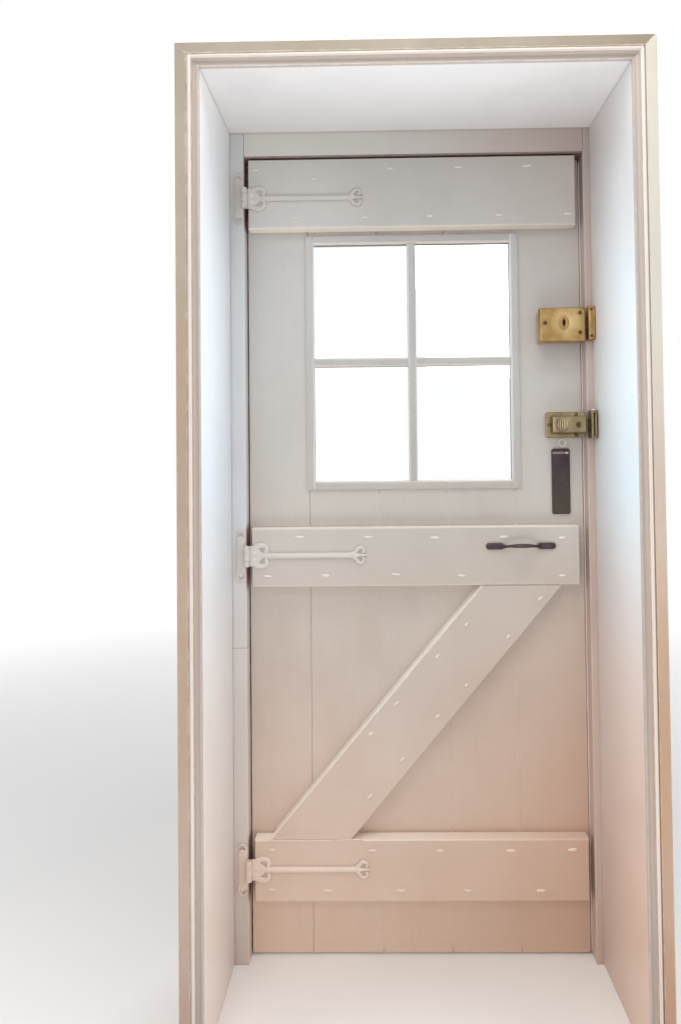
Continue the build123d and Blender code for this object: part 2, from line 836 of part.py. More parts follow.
frame_knuckle_length = (knuckle_length - leaf_knuckle_length) / 2
for place, height in hinge_heights.items():
    # Frame half: a narrow plate with two curled ends and the outer knuckles
    low_z = height - knuckle_length / 2
    leaf_low_z = height - leaf_knuckle_length / 2
    with BuildPart() as hinge_plate:
        with BuildSketch(room_plane(face_y)):
            with Locations((frame_plate_x, height)):
                Rectangle(frame_plate_width, 2 * frame_plate_spread)
            for side in (-1, 1):
                with Locations((frame_plate_x, height + side * frame_plate_spread)):
                    Circle(frame_plate_curl_radius)
            with Locations(((frame_plate_x + pin_x) / 2, height)):
                Rectangle(pin_x - frame_plate_x, knuckle_length)
        extrude(amount=plate_thickness)
        knuckle_barrel(low_z, frame_knuckle_length)
        knuckle_barrel(low_z + knuckle_length - frame_knuckle_length, frame_knuckle_length)
        knuckle_relief(leaf_low_z, leaf_knuckle_length)
        knuckle_bore(low_z, knuckle_length)
        for side in (-1, 1):
            sunk_screw(
                frame_plate_x,
                height + side * frame_plate_spread,
                face_y - plate_thickness,
                plate_thickness,
                screw_fit,
                Mode.SUBTRACT,
            )
    keep_piece(f"hinge_plate_{place}", hinge_plate)

    # Leaf half: a strap with a curled root, a half-round bar and a curled tip
    with BuildPart() as hinge_strap:
        with BuildSketch(room_plane(face_y)) as outline:
            curl_x = pin_x + strap_curl_reach
            with BuildLine():
                Polyline(
                    (pin_x, height - knuckle_length / 2),
                    (pin_x + strap_root_length, height - knuckle_length / 2),
                    (curl_x, height - strap_curl_spread - strap_curl_radius),
                    (curl_x, height + strap_curl_spread + strap_curl_radius),
                    (pin_x + strap_root_length, height + knuckle_length / 2),
                    (pin_x, height + knuckle_length / 2),
                    close=True,
                )
            make_face()
            with Locations((curl_x, height + strap_curl_spread), (curl_x, height - strap_curl_spread)):
                Circle(strap_curl_radius)
            with Locations((pin_x + (strap_curl_reach + strap_bar_end) / 2, height)):
                Rectangle(strap_bar_end - strap_curl_reach, strap_bar_height)
            tip_x = pin_x + strap_length - strap_tongue_width - strap_tip_radius
            with Locations((tip_x, height + strap_tip_spread), (tip_x, height - strap_tip_spread)):
                Circle(strap_tip_radius)
            with Locations(((pin_x + strap_bar_end + tip_x) / 2, height)):
                Rectangle(tip_x - pin_x - strap_bar_end + strap_tip_radius, 2 * strap_tip_spread)
            with Locations((pin_x + strap_length - strap_tongue_width, height)):
                SlotOverall(4 * strap_tongue_width, strap_tongue_width)
            eye_x = curl_x + strap_eye_shift
            with Locations((eye_x, height + strap_curl_spread), (eye_x, height - strap_curl_spread)):
                Circle(strap_eye_radius, mode=Mode.SUBTRACT)
            tip_eye_x = tip_x + strap_eye_shift
            with Locations((tip_eye_x, height + strap_tip_spread), (tip_eye_x, height - strap_tip_spread)):
                Circle(strap_tip_eye_radius, mode=Mode.SUBTRACT)
        extrude(amount=plate_thickness)
        with BuildSketch(Plane.YZ.offset(pin_x + strap_bar_start)):
            with Locations((face_y, height)):
                Ellipse(strap_bar_proud, strap_bar_height / 2)
                with Locations((strap_bar_proud, 0)):
                    Rectangle(2 * strap_bar_proud, 2 * strap_bar_height, mode=Mode.SUBTRACT)
        extrude(amount=strap_bar_end - strap_bar_start - strap_bar_stop)
        knuckle_barrel(leaf_low_z + knuckle_end_gap, leaf_knuckle_length - 2 * knuckle_end_gap)
        knuckle_relief(low_z, frame_knuckle_length + knuckle_end_gap)
        leaf_high_z = leaf_low_z + leaf_knuckle_length
        knuckle_relief(leaf_high_z - knuckle_end_gap, frame_knuckle_length + knuckle_end_gap)
        knuckle_bore(low_z, knuckle_length)
        for reach, rise in strap_screw_spots:
            sunk_screw(
                pin_x + reach,
                height + rise,
                face_y - plate_thickness,
                plate_thickness,
                screw_fit,
                Mode.SUBTRACT,
            )
    keep_piece(f"hinge_strap_{place}", hinge_strap)

# Hinge pins, standing a little out of the knuckles
with BuildPart() as hinge_pins:
    for height in hinge_heights.values():
        pin_half = knuckle_length / 2 + pin_end
        with BuildSketch(Plane.XY.offset(height - pin_half)):
            with Locations((pin_x, pin_y)):
                Circle(pin_radius)
        extrude(amount=2 * pin_half)
keep_piece("hinge_pins", hinge_pins)

for name, y, spots in (
    ("hinge_plate_screws", face_y - plate_thickness, frame_plate_screws),
    (
        "strap_screws",
        face_y - plate_thickness,
        [(pin_x + x, height + z) for height in hinge_heights.values() for x, z in strap_screw_spots],
    ),
):
    with BuildPart() as screws:
        for x, z in spots:
            sunk_screw(x, z, y, screw_length)
    keep_piece(name, screws)

# Pull handle: two long pads joined by a bowed grip that swells in the middle
pull_x = leaf_right - pull_centre_inset
pull_z = middle_ledge_height + pull_above_ledge
pad_shift = (pull_length - pull_pad_length) / 2
grip_end = pull_length / 2 - pull_pad_length + pull_grip_radius
pad_front_y = face_y - pull_pad_thickness
with BuildPart() as pull_handle:
    with BuildSketch(room_plane(face_y)):
        with Locations((pull_x - pad_shift, pull_z), (pull_x + pad_shift, pull_z)):
            SlotOverall(pull_pad_length, pull_pad_width)
    extrude(amount=pull_pad_thickness)
    chamfer(pull_handle.faces().group_by(Axis.Y)[0].edges(), length=pull_pad_bevel)
    with BuildLine(Plane.XY.offset(pull_z)) as grip_path:
        ThreePointArc(
            (pull_x - grip_end, pad_front_y + pull_pad_bevel),
            (pull_x, face_y - pull_bow),
            (pull_x + grip_end, pad_front_y + pull_pad_bevel),
        )
    for step in range(pull_grip_steps + 1):
        share = step / pull_grip_steps
        swell = (pull_grip_swell - pull_grip_radius) * sin(pi * share)
        station = Plane(origin=grip_path.line @ share, x_dir=(0, 0, 1), z_dir=grip_path.line % share)
        with BuildSketch(station):
            RegularPolygon(pull_grip_radius + swell, pull_grip_sides)
    loft(ruled=True)
keep_piece("pull_handle", pull_handle)

# Packing blocks, which bring the two locks level with the ledges
with BuildPart() as rim_lock_block:
    with BuildSketch(room_plane(board_y)):
        with Locations(((rim_left + rim_right) / 2, (rim_top + rim_bottom) / 2)):
            Rectangle(rim_case_width - 2 * block_margin, rim_top - rim_bottom - 2 * block_margin)
        with Locations((rim_key_x, rim_key_height)):
            Circle(keyhole_height / 2, mode=Mode.SUBTRACT)
    extrude(amount=ledge_thickness)
    with BuildSketch(room_plane(face_y)):
        with Locations(*rim_screw_spots):
            Circle(screw_shank_radius + screw_fit)
    extrude(amount=-(rim_screw_length - rim_case_depth), mode=Mode.SUBTRACT)
keep_piece("rim_lock_block", rim_lock_block)

with BuildPart() as night_latch_block:
    with BuildSketch(room_plane(board_y)):
        with Locations(((latch_left + latch_right) / 2, latch_height)):
            Rectangle(latch_plate_width - 2 * block_margin, latch_plate_height - 2 * block_margin)
        with Locations((latch_knob_x, latch_height)):
            Circle(cylinder_radius + cylinder_clearance, mode=Mode.SUBTRACT)
    extrude(amount=ledge_thickness)
    with BuildSketch(room_plane(face_y)):
        with Locations(*latch_screw_spots):
            Circle(screw_shank_radius + screw_fit)
    extrude(amount=-(latch_screw_length - latch_plate_thickness), mode=Mode.SUBTRACT)
keep_piece("night_latch_block", night_latch_block)

# Rim deadlock case: a shallow brass box, open to the block, with a mouth for the bolt
rim_x = (rim_left + rim_right) / 2
rim_z = (rim_top + rim_bottom) / 2
rim_height = rim_top - rim_bottom
rim_middle_y = face_y - rim_case_depth / 2
with BuildPart() as rim_lock_case:
    with BuildSketch(room_plane(face_y)):
        with Locations((rim_x, rim_z)):
            Rectangle(rim_case_width, rim_height)
    extrude(amount=rim_case_depth)
    chamfer(rim_lock_case.faces().sort_by(Axis.Y)[0].edges(), length=rim_case_bevel)
    with BuildSketch(room_plane(face_y)):
        with Locations((rim_x, rim_z)):
            Rectangle(rim_case_width - 2 * rim_case_wall, rim_height - 2 * rim_case_wall)
    extrude(amount=rim_case_depth - rim_case_wall, mode=Mode.SUBTRACT)
    with Locations((rim_right - rim_case_wall / 2, rim_middle_y, rim_key_height)):
        Box(
            2 * rim_case_wall,
            rim_bolt_thickness + 2 * rim_bolt_clearance,
            rim_bolt_height + 2 * rim_bolt_clearance,
            mode=Mode.SUBTRACT,
        )
    with BuildSketch(room_plane(rim_front_y)):
        with Locations(*rim_screw_spots):
            Circle(screw_shank_radius + screw_fit)
        with Locations((rim_key_x, rim_key_height)):
            keyhole_outline()
    extrude(amount=-rim_case_wall, mode=Mode.SUBTRACT)
keep_piece("rim_lock_case", rim_lock_case)

with BuildPart() as rim_lock_escutcheon:
    with BuildSketch(room_plane(rim_front_y)):
        with Locations((rim_key_x, rim_key_height)):
            Ellipse(escutcheon_width / 2, escutcheon_height / 2)
    extrude(amount=escutcheon_thickness)
    chamfer(rim_lock_escutcheon.faces().sort_by(Axis.Y)[0].edges(), length=escutcheon_bevel)
    with BuildSketch(room_plane(rim_front_y)):
        with Locations((rim_key_x, rim_key_height)):
            keyhole_outline()
    extrude(amount=escutcheon_thickness, mode=Mode.SUBTRACT)
keep_piece("rim_lock_escutcheon", rim_lock_escutcheon)

# Levers on their pivot, behind the case's front
pivot_x = rim_left + lever_pivot_from_left
lever_low_z = rim_key_height + lever_above_key
with BuildPart() as rim_lock_levers:
    with BuildSketch(room_plane(face_y)):
        with Locations((pivot_x, lever_low_z + lever_height / 2)):
            Circle(lever_pivot_radius)
    extrude(amount=rim_case_depth - rim_case_wall)
    for layer in range(lever_count):
        layer_y = rim_middle_y + (layer - (lever_count - 1) / 2) * lever_pitch
        lever_x = pivot_x + lever_length / 2 - 2 * lever_pivot_radius
        with BuildSketch(room_plane(layer_y + lever_thickness / 2)):
            with Locations((lever_x, lever_low_z + lever_height / 2)):
                Rectangle(lever_length, lever_height)
        extrude(amount=lever_thickness)
keep_piece("rim_lock_levers", rim_lock_levers)

# Rim lock bolt, drawn back inside its case
with BuildPart() as rim_lock_bolt:
    with Locations((rim_right - rim_bolt_setback - rim_bolt_length / 2, rim_middle_y, rim_key_height)):
        Box(rim_bolt_length, rim_bolt_thickness, rim_bolt_height)
    chamfer(rim_lock_bolt.faces().sort_by(Axis.X)[-1].edges(), length=rim_bolt_setback)
keep_piece("rim_lock_bolt", rim_lock_bolt)

with BuildPart() as rim_lock_screws:
    for x, z in rim_screw_spots:
        round_screw(x, z, rim_front_y, rim_screw_length)
keep_piece("rim_lock_screws", rim_lock_screws)

# Night latch: backplate, case, bolt, turn knob, snib and outside cylinder
latch_plate_y = face_y - latch_plate_thickness
latch_front_y = face_y - latch_case_proud
latch_case_depth = latch_case_proud - latch_plate_thickness
latch_case_left = latch_left + latch_case_from_left
latch_case_right = latch_right - latch_case_from_right
latch_case_width = latch_case_right - latch_case_left
latch_case_height = latch_plate_height - 2 * latch_case_from_top
latch_bolt_y = latch_plate_y - latch_case_depth / 2 + latch_case_wall / 2
with BuildPart() as night_latch_backplate:
    with BuildSketch(room_plane(face_y)):
        with Locations(((latch_left + latch_right) / 2, latch_height)):
            RectangleRounded(latch_plate_width, latch_plate_height, latch_plate_corner)
    extrude(amount=latch_plate_thickness)
    chamfer(night_latch_backplate.faces().sort_by(Axis.Y)[0].edges(), length=latch_plate_bevel)
    with BuildSketch(room_plane(face_y)):
        with Locations(*latch_screw_spots):
            Circle(screw_shank_radius + screw_fit)
        with Locations((latch_knob_x, latch_height)):
            Circle(cylinder_tail_width)
    extrude(amount=latch_plate_thickness, mode=Mode.SUBTRACT)
keep_piece("night_latch_backplate", night_latch_backplate)

with BuildPart() as night_latch_case:
    with BuildSketch(room_plane(latch_plate_y)):
        with Locations(((latch_case_left + latch_case_right) / 2, latch_height)):
            Rectangle(latch_case_width, latch_case_height)
    extrude(amount=latch_case_depth)
    chamfer(night_latch_case.faces().sort_by(Axis.Y)[0].edges(), length=latch_case_bevel)
    with BuildSketch(room_plane(latch_plate_y)):
        with Locations(((latch_case_left + latch_case_right) / 2, latch_height)):
            Rectangle(latch_case_width - 2 * latch_case_wall, latch_case_height - 2 * latch_case_wall)
    extrude(amount=latch_case_depth - latch_case_wall, mode=Mode.SUBTRACT)
    with Locations((latch_case_right - latch_case_wall / 2, latch_bolt_y, latch_height)):
        Box(
            2 * latch_case_wall,
            latch_bolt_thickness + 2 * rim_bolt_clearance,
            latch_bolt_height + 2 * rim_bolt_clearance,
            mode=Mode.SUBTRACT,
        )
    with BuildSketch(room_plane(latch_front_y)):
        with Locations((latch_knob_x, latch_height)):
            Circle(latch_spindle_radius + pin_clearance)
        with Locations((latch_snib_x, latch_height - latch_snib_travel / 2)):
            SlotCenterToCenter(
                latch_snib_travel, 2 * (latch_snib_stem_radius + latch_snib_clearance), rotation=90
            )
    extrude(amount=-latch_case_wall, mode=Mode.SUBTRACT)
keep_piece("night_latch_case", night_latch_case)

latch_bolt_x = latch_case_right - rim_bolt_setback - latch_bolt_length / 2
with BuildPart() as night_latch_bolt:
    with Locations((latch_bolt_x, latch_bolt_y, latch_height)):
        Box(latch_bolt_length, latch_bolt_thickness, latch_bolt_height)
    nose = night_latch_bolt.edges().filter_by(Axis.Z).group_by(Axis.X)[-1].sort_by(Axis.Y)[-1]
    chamfer(nose, length=latch_bolt_nose)
keep_piece("night_latch_bolt", night_latch_bolt)

knob_back_y = latch_front_y - latch_knob_gap
knob_front_y = knob_back_y - latch_knob_thickness
with BuildPart() as night_latch_knob:
    with BuildSketch(room_plane(knob_back_y)):
        with Locations((latch_knob_x, latch_height)):
            Ellipse(latch_knob_width / 2, latch_knob_height / 2)
    extrude(amount=latch_knob_thickness)
    chamfer(night_latch_knob.faces().sort_by(Axis.Y)[0].edges(), length=latch_knob_bevel)
    with BuildSketch(Plane.YZ.offset(latch_knob_x - latch_blade_width / 2)):
        with Locations((knob_front_y, latch_height)):
            Ellipse(latch_blade_proud, latch_blade_height / 2)
            with Locations((latch_blade_proud / 2 + latch_knob_thickness / 2, 0)):
                Rectangle(latch_blade_proud, latch_blade_height, mode=Mode.SUBTRACT)
    extrude(amount=latch_blade_width)
    with BuildSketch(room_plane(latch_front_y + latch_spindle_length)):
        with Locations((latch_knob_x, latch_height)):
            Circle(latch_spindle_radius)
    extrude(amount=latch_spindle_length + latch_knob_gap)
keep_piece("night_latch_knob", night_latch_knob)

with BuildPart() as night_latch_snib:
    with BuildSketch(room_plane(latch_front_y + latch_case_wall)):
        with Locations((latch_snib_x, latch_height)):
            Circle(latch_snib_stem_radius)
    extrude(amount=latch_case_wall + latch_snib_clearance)
    with Locations(room_spot(latch_snib_x, latch_front_y - latch_snib_clearance, latch_height)):
        Cone(
            latch_snib_radius,
            latch_snib_crown,
            latch_snib_proud,
            align=(Align.CENTER, Align.CENTER, Align.MIN),
        )
keep_piece("night_latch_snib", night_latch_snib)

with BuildPart() as night_latch_screws:
    for x, z in latch_screw_spots:
        round_screw(x, z, latch_plate_y, latch_screw_length)
keep_piece("night_latch_screws", night_latch_screws)

with BuildPart() as night_latch_cylinder:
    with BuildSketch(room_plane(leaf_back_y + cylinder_rim_proud)):
        with Locations((latch_knob_x, latch_height)):
            Circle(cylinder_rim_radius)
    extrude(amount=cylinder_rim_proud)
    chamfer(night_latch_cylinder.faces().sort_by(Axis.Y)[-1].edges(), length=cylinder_rim_proud / 2)
    with BuildSketch(room_plane(leaf_back_y)):
        with Locations((latch_knob_x, latch_height)):
            Circle(cylinder_radius)
    extrude(amount=cylinder_length)
    with Locations((latch_knob_x, (leaf_back_y - cylinder_length + latch_plate_y) / 2, latch_height)):
        Box(
            cylinder_tail_thickness,
            leaf_back_y - cylinder_length - latch_plate_y,
            cylinder_tail_width,
        )
    with BuildSketch(room_plane(leaf_back_y + cylinder_rim_proud)):
        with Locations((latch_knob_x, latch_height)):
            Rectangle(cylinder_keyway_width, cylinder_keyway_height)
    extrude(amount=cylinder_length / 2, mode=Mode.SUBTRACT)
keep_piece("night_latch_cylinder", night_latch_cylinder)

# Keeps on the lock post: box staples with a mouth towards each bolt
keeps = {
    "rim_lock_keep": (
        rim_key_height,
        rim_keep_height,
        rim_keep_proud,
        rim_middle_y,
        rim_bolt_height,
        rim_bolt_thickness,
    ),
    "night_latch_keep": (
        latch_height,
        latch_keep_height,
        latch_keep_proud,
        latch_bolt_y,
        latch_bolt_height,
        latch_bolt_thickness,
    ),
}
for name, (height, tall, proud, mouth_y, bolt_height, bolt_thickness) in keeps.items():
    with BuildPart() as keep:
        with BuildSketch(room_plane(face_y)):
            with Locations((keep_x, height)):
                Rectangle(keep_right - keep_left, tall)
        extrude(amount=proud)
        chamfer(keep.edges().filter_by(Axis.X).group_by(Axis.Y)[0], length=keep_corner)
        with Locations(((keep_left + keep_right - keep_wall) / 2, mouth_y, height)):
            Box(
                keep_right - keep_left - keep_wall,
                bolt_thickness + 2 * keep_mouth_clearance,
                bolt_height + 2 * keep_mouth_clearance,
                mode=Mode.SUBTRACT,
            )
        with BuildSketch(room_plane(face_y - proud)):
            with Locations(*keep_screw_spots[name]):
                Circle(screw_shank_radius + screw_fit)
        extrude(amount=-proud, mode=Mode.SUBTRACT)
    keep_piece(name, keep)

with BuildPart() as keep_screws:
    for name, (height, tall, proud, mouth_y, bolt_height, bolt_thickness) in keeps.items():
        for x, z in keep_screw_spots[name]:
            round_screw(x, z, face_y - proud, proud + keep_screw_length)
keep_piece("keep_screws", keep_screws)

# Key hook: a screw eye in the boards under the night latch
hook_y = board_y - hook_stand_off
with BuildPart() as key_hook:
    with BuildSketch(Plane.YZ.offset(hook_x)) as ring_section:
        with Locations((hook_y, hook_z + hook_ring_radius)):
            Circle(hook_wire_radius)
    revolve(axis=Axis((hook_x, hook_y, hook_z), (0, 1, 0)), revolution_arc=360)
    with BuildSketch(room_plane(hook_y)):
        with Locations((hook_x, hook_z + hook_ring_radius)):
            Circle(hook_wire_radius)
    extrude(amount=-(hook_stand_off + hook_shank_length))
keep_piece("key_hook", key_hook)

# Slim dark plate
dark_plate_x = leaf_right - dark_plate_inset
dark_plate_top = hook_z - hook_reach - dark_plate_below_hook
dark_plate_bottom = middle_ledge_height + middle_ledge_width + dark_plate_above_ledge
dark_plate_z = (dark_plate_top + dark_plate_bottom) / 2
dark_plate_height = dark_plate_top - dark_plate_bottom
with BuildPart() as dark_plate:
    with BuildSketch(room_plane(board_y)):
        with Locations((dark_plate_x, dark_plate_z)):
            RectangleRounded(dark_plate_width, dark_plate_height, dark_plate_corner)
    extrude(amount=dark_plate_thickness)
    chamfer(dark_plate.faces().sort_by(Axis.Y)[0].edges(), length=dark_plate_bevel)
keep_piece("dark_plate", dark_plate)

for name, piece in finished.items():
    piece.label = name

os.makedirs("parts", exist_ok=True)
for name, piece in finished.items():
    export_step(piece, f"parts/{name}.step")
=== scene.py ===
import random
from math import cos, pi, sin, sqrt

import bmesh
import bpy
from mathutils import Matrix, Vector


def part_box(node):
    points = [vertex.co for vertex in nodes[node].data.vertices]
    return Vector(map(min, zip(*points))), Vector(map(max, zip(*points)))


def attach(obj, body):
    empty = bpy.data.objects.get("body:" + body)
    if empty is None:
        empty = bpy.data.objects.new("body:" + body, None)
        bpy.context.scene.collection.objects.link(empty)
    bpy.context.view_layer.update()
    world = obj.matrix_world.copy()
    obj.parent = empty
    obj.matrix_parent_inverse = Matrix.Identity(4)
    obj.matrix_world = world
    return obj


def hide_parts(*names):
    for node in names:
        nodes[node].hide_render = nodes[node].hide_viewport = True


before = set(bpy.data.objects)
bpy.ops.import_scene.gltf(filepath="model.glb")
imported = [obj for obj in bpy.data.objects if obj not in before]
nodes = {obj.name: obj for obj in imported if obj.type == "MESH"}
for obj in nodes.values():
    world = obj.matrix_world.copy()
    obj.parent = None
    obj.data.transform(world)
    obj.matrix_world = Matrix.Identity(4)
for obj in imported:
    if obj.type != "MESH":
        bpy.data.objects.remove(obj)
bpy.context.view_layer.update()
scene = bpy.context.scene

# Camera at the photograph's place
PHOTO_WIDTH = 681
PHOTO_HEIGHT = 1024
eye = Vector((-0.0784, -1.6586, 1.1901))
camera_yaw = 0.0143
camera_pitch = 0.0237
camera_roll = -0.0107
level_right = Vector((cos(camera_yaw), sin(camera_yaw), 0))
level_ahead = Vector((-sin(camera_yaw), cos(camera_yaw), 0))
ahead = cos(camera_pitch) * level_ahead + sin(camera_pitch) * Vector((0, 0, 1))
up = -sin(camera_pitch) * level_ahead + cos(camera_pitch) * Vector((0, 0, 1))
camera_x = cos(camera_roll) * level_right + sin(camera_roll) * up
camera_y = -sin(camera_roll) * level_right + cos(camera_roll) * up
camera_data = bpy.data.cameras.new("camera")
camera_data.sensor_width = 36
camera_data.lens = 25.918
camera_data.shift_x = -0.02788
camera_data.shift_y = -0.06809
camera_data.clip_start = 0.05
camera_data.clip_end = 60
camera = bpy.data.objects.new("camera", camera_data)
turn = Matrix((camera_x, camera_y, -ahead)).transposed().to_4x4()
camera.matrix_world = Matrix.Translation(eye) @ turn
scene.collection.objects.link(camera)
scene.camera = camera
scene.view_settings.view_transform = "Standard"


def seen_at(across, down, depth):
    """The place at a depth that the photo shows at a pixel."""
    focal = camera_data.lens / camera_data.sensor_width * PHOTO_HEIGHT
    right = across - PHOTO_WIDTH / 2 + camera_data.shift_x * PHOTO_HEIGHT
    below = down - PHOTO_HEIGHT / 2 - camera_data.shift_y * PHOTO_HEIGHT
    ray = focal * ahead + right * camera_x - below * camera_y
    return eye + ray * ((depth - eye.y) / ray.y)


def area_light(name, place, target, size, power, colour):
    """A soft square lamp at place that faces target."""
    data = bpy.data.lights.new(name, "AREA")
    data.shape = "SQUARE"
    data.size = size
    data.energy = power
    data.color = colour
    lamp = bpy.data.objects.new(name, data)
    lamp.location = place
    lamp.rotation_euler = (Vector(target) - Vector(place)).to_track_quat("-Z", "Y").to_euler()
    lamp.visible_camera = False
    scene.collection.objects.link(lamp)


area_light("key", (-0.9, -2.3, 3.0), (0, 0, 1.0), 1.1, 17, (1, 0.98, 0.96))
area_light("front", (-0.5, -3.0, 1.5), (0, 0, 1.0), 1.2, 7.5, (1, 0.99, 0.98))
area_light("left", (-2.3, -0.75, 1.3), (0.43, -0.1, 1.2), 1.2, 23, (0.98, 0.99, 1))
area_light("right", (2.3, -0.75, 1.3), (-0.43, -0.1, 1.2), 1.2, 28, (0.98, 0.99, 1))
area_light("above", (0.1, -0.55, 2.75), (0.05, 0.1, 0.4), 0.9, 16, (1, 0.98, 0.95))
area_light("low", (0, -1.2, 0.05), (0, -1.15, 3.0), 0.9, 7.5, (1, 0.99, 0.98))
area_light("back", (1.2, 3.4, 2.8), (0, 0, 1.1), 2.2, 40, (0.98, 0.99, 1))
area_light("window", (0.004, 0.1, 1.43), (0.004, -1, 1.43), 0.5, 1.5, (0.78, 0.92, 1))


def add_node(tree, kind, **values):
    """A new node of a kind, with its input sockets set: underscores in a name are spaces."""
    node = tree.nodes.new("ShaderNode" + kind)
    for name, value in values.items():
        node.inputs[name.replace("_", " ")].default_value = value
    return node


def blend_shaders(tree, share, first, second, output):
    """Mix two shaders by a share and link the mix to an output."""
    mixer = add_node(tree, "MixShader")
    for source, socket in ((share, "Fac"), (first, 1), (second, 2)):
        tree.links.new(source, mixer.inputs[socket])
    tree.links.new(mixer.outputs[0], output.inputs["Surface"])


# A plain white backdrop for what the camera, gloss and glass see, and soft light for the rest
WHITE = (1, 1, 1, 1)
world = bpy.data.worlds.new("studio")
scene.world = world
world.use_nodes = True
world_tree = world.node_tree
world_tree.nodes.clear()
seen = add_node(world_tree, "Background", Color=WHITE, Strength=1)
ambient = add_node(world_tree, "Background", Color=(0.93, 0.96, 1, 1), Strength=0.42)
path = add_node(world_tree, "LightPath")
share = path.outputs["Is Camera Ray"]
for ray in ("Is Glossy Ray", "Is Transmission Ray"):
    either = add_node(world_tree, "Math")
    either.operation = "MAXIMUM"
    world_tree.links.new(share, either.inputs[0])
    world_tree.links.new(path.outputs[ray], either.inputs[1])
    share = either.outputs[0]
blend_shaders(
    world_tree, share, ambient.outputs[0], seen.outputs[0], add_node(world_tree, "OutputWorld")
)


class Shading:
    """A material's node tree, with short calls for the nodes that it is made of."""

    def __init__(self, name, base=None):
        """A bare new material, or a copy of base to build on."""
        self.material = base.copy() if base else bpy.data.materials.new(name)
        self.material.name = name
        self.material.use_nodes = True
        self.tree = self.material.node_tree
        if base:
            kinds = {node.type: node for node in self.tree.nodes}
            self.shader = kinds["BSDF_PRINCIPLED"]
            self.place = kinds["TEX_COORD"].outputs["Object"]
            return
        self.tree.nodes.clear()
        self.output = self.node("OutputMaterial")
        self.shader = self.node("BsdfPrincipled")
        self.tree.links.new(self.shader.outputs[0], self.output.inputs["Surface"])
        self.place = self.node("TexCoord").outputs["Object"]

    def node(self, kind, **values):
        return add_node(self.tree, kind, **values)

    def link(self, source, socket):
        """Link an output to a socket, or write a plain value on it."""
        if isinstance(source, bpy.types.NodeSocket):
            self.tree.links.new(source, socket)
        else:
            socket.default_value = source

    def set(self, **values):
        """Set the shader's sockets: underscores in a name stand for spaces."""
        for name, value in values.items():
            self.link(value, self.shader.inputs[name.replace("_", " ")])

    def stretched(self, scale, shift=(0, 0, 0)):
        """The object's coordinates, scaled for each axis and shifted."""
        node = self.node("Mapping", Scale=scale, Location=shift)
        self.link(self.place, node.inputs["Vector"])
        return node.outputs[0]

    def noise(self, vector, scale=1.0, detail=3.0, roughness=0.55, distortion=0.0):
        node = self.node(
            "TexNoise", Scale=scale, Detail=detail, Roughness=roughness, Distortion=distortion
        )
        self.link(vector, node.inputs["Vector"])
        return node.outputs["Fac"]

    def voronoi(self, vector):
        node = self.node("TexVoronoi", Scale=1)
        self.link(vector, node.inputs["Vector"])
        return node.outputs["Distance"]

    def math(self, operation, first, second=0.0):
        node = self.node("Math")
        node.operation = operation
        self.link(first, node.inputs[0])
        self.link(second, node.inputs[1])
        return node.outputs[0]

    def product(self, first, second):
        return self.math("MULTIPLY", first, second)

    def spread(self, value, low, high, to_low=0.0, to_high=1.0):
        """Map value from low..high to to_low..to_high, held at the ends."""
        node = self.node("MapRange", From_Min=low, From_Max=high, To_Min=to_low, To_Max=to_high)
        self.link(value, node.inputs["Value"])
        return node.outputs[0]

    def ramp(self, value, stops):
        """A colour ramp through stops of (place, colour)."""
        node = self.node("ValToRGB")
        self.link(value, node.inputs["Fac"])
        points = node.color_ramp.elements
        while len(points) < len(stops):
            points.new(0.5)
        for point, (place, colour) in zip(points, stops):
            point.position = place
            point.color = (*colour, 1)
        return node.outputs["Color"]

    def mix(self, amount, first, second):
        """Mix two colours."""
        node = self.node("Mix")
        node.data_type = "RGBA"
        self.link(amount, node.inputs[0])
        for socket, value in ((node.inputs[6], first), (node.inputs[7], second)):
            if isinstance(value, tuple):
                socket.default_value = (*value, 1)
            else:
                self.link(value, socket)
        return node.outputs[2]

    def axis(self, name):
        """One of the object's coordinates, in metres."""
        split = self.node("SeparateXYZ")
        self.link(self.place, split.inputs[0])
        return split.outputs[name]

    def corner(self, reach, low, high, inside=False):
        """From 1 deep in a corner, or on an outer edge for inside, to 0 on an open face."""
        node = self.node("AmbientOcclusion", Distance=reach)
        node.samples = 8
        node.inside = inside
        return self.spread(node.outputs["AO"], low, high, 1.0, 0.0)

    def crevice(self, reach, low=0.55, high=0.95):
        return self.corner(reach, low, high)

    def edge(self, reach):
        return self.corner(reach, 0.6, 0.98, True)

    def facing(self, axis, sign=1):
        """1 on faces that look along an axis, 0 on the rest."""
        split = self.node("SeparateXYZ")
        self.link(self.node("TexCoord").outputs["Normal"], split.inputs[0])
        return self.spread(self.product(split.outputs[axis], sign), 0.5, 0.9)

    def band(self, value, low, high, soft):
        """1 where value lies between low and high, falling to 0 over soft outside."""
        above = self.spread(value, low - soft, low)
        below = self.spread(value, high, high + soft, 1.0, 0.0)
        return self.product(above, below)

    def bump(self, height, strength, distance, after=None):
        node = self.node("Bump", Strength=strength, Distance=distance)
        self.link(height, node.inputs["Height"])
        if after is not None:
            self.link(after, node.inputs["Normal"])
        return node.outputs[0]


def shade(red, green, blue):
    """A colour written as 0 to 255, as linear light."""
    parts = [value / 255 for value in (red, green, blue)]
    return tuple(
        part / 12.92 if part <= 0.04045 else ((part + 0.055) / 1.055) ** 2.4 for part in parts
    )


def tints(*rows):
    """A ramp's stops from rows of share of the height, red, green and blue."""
    return tuple((share, shade(*colour)) for share, *colour in rows)


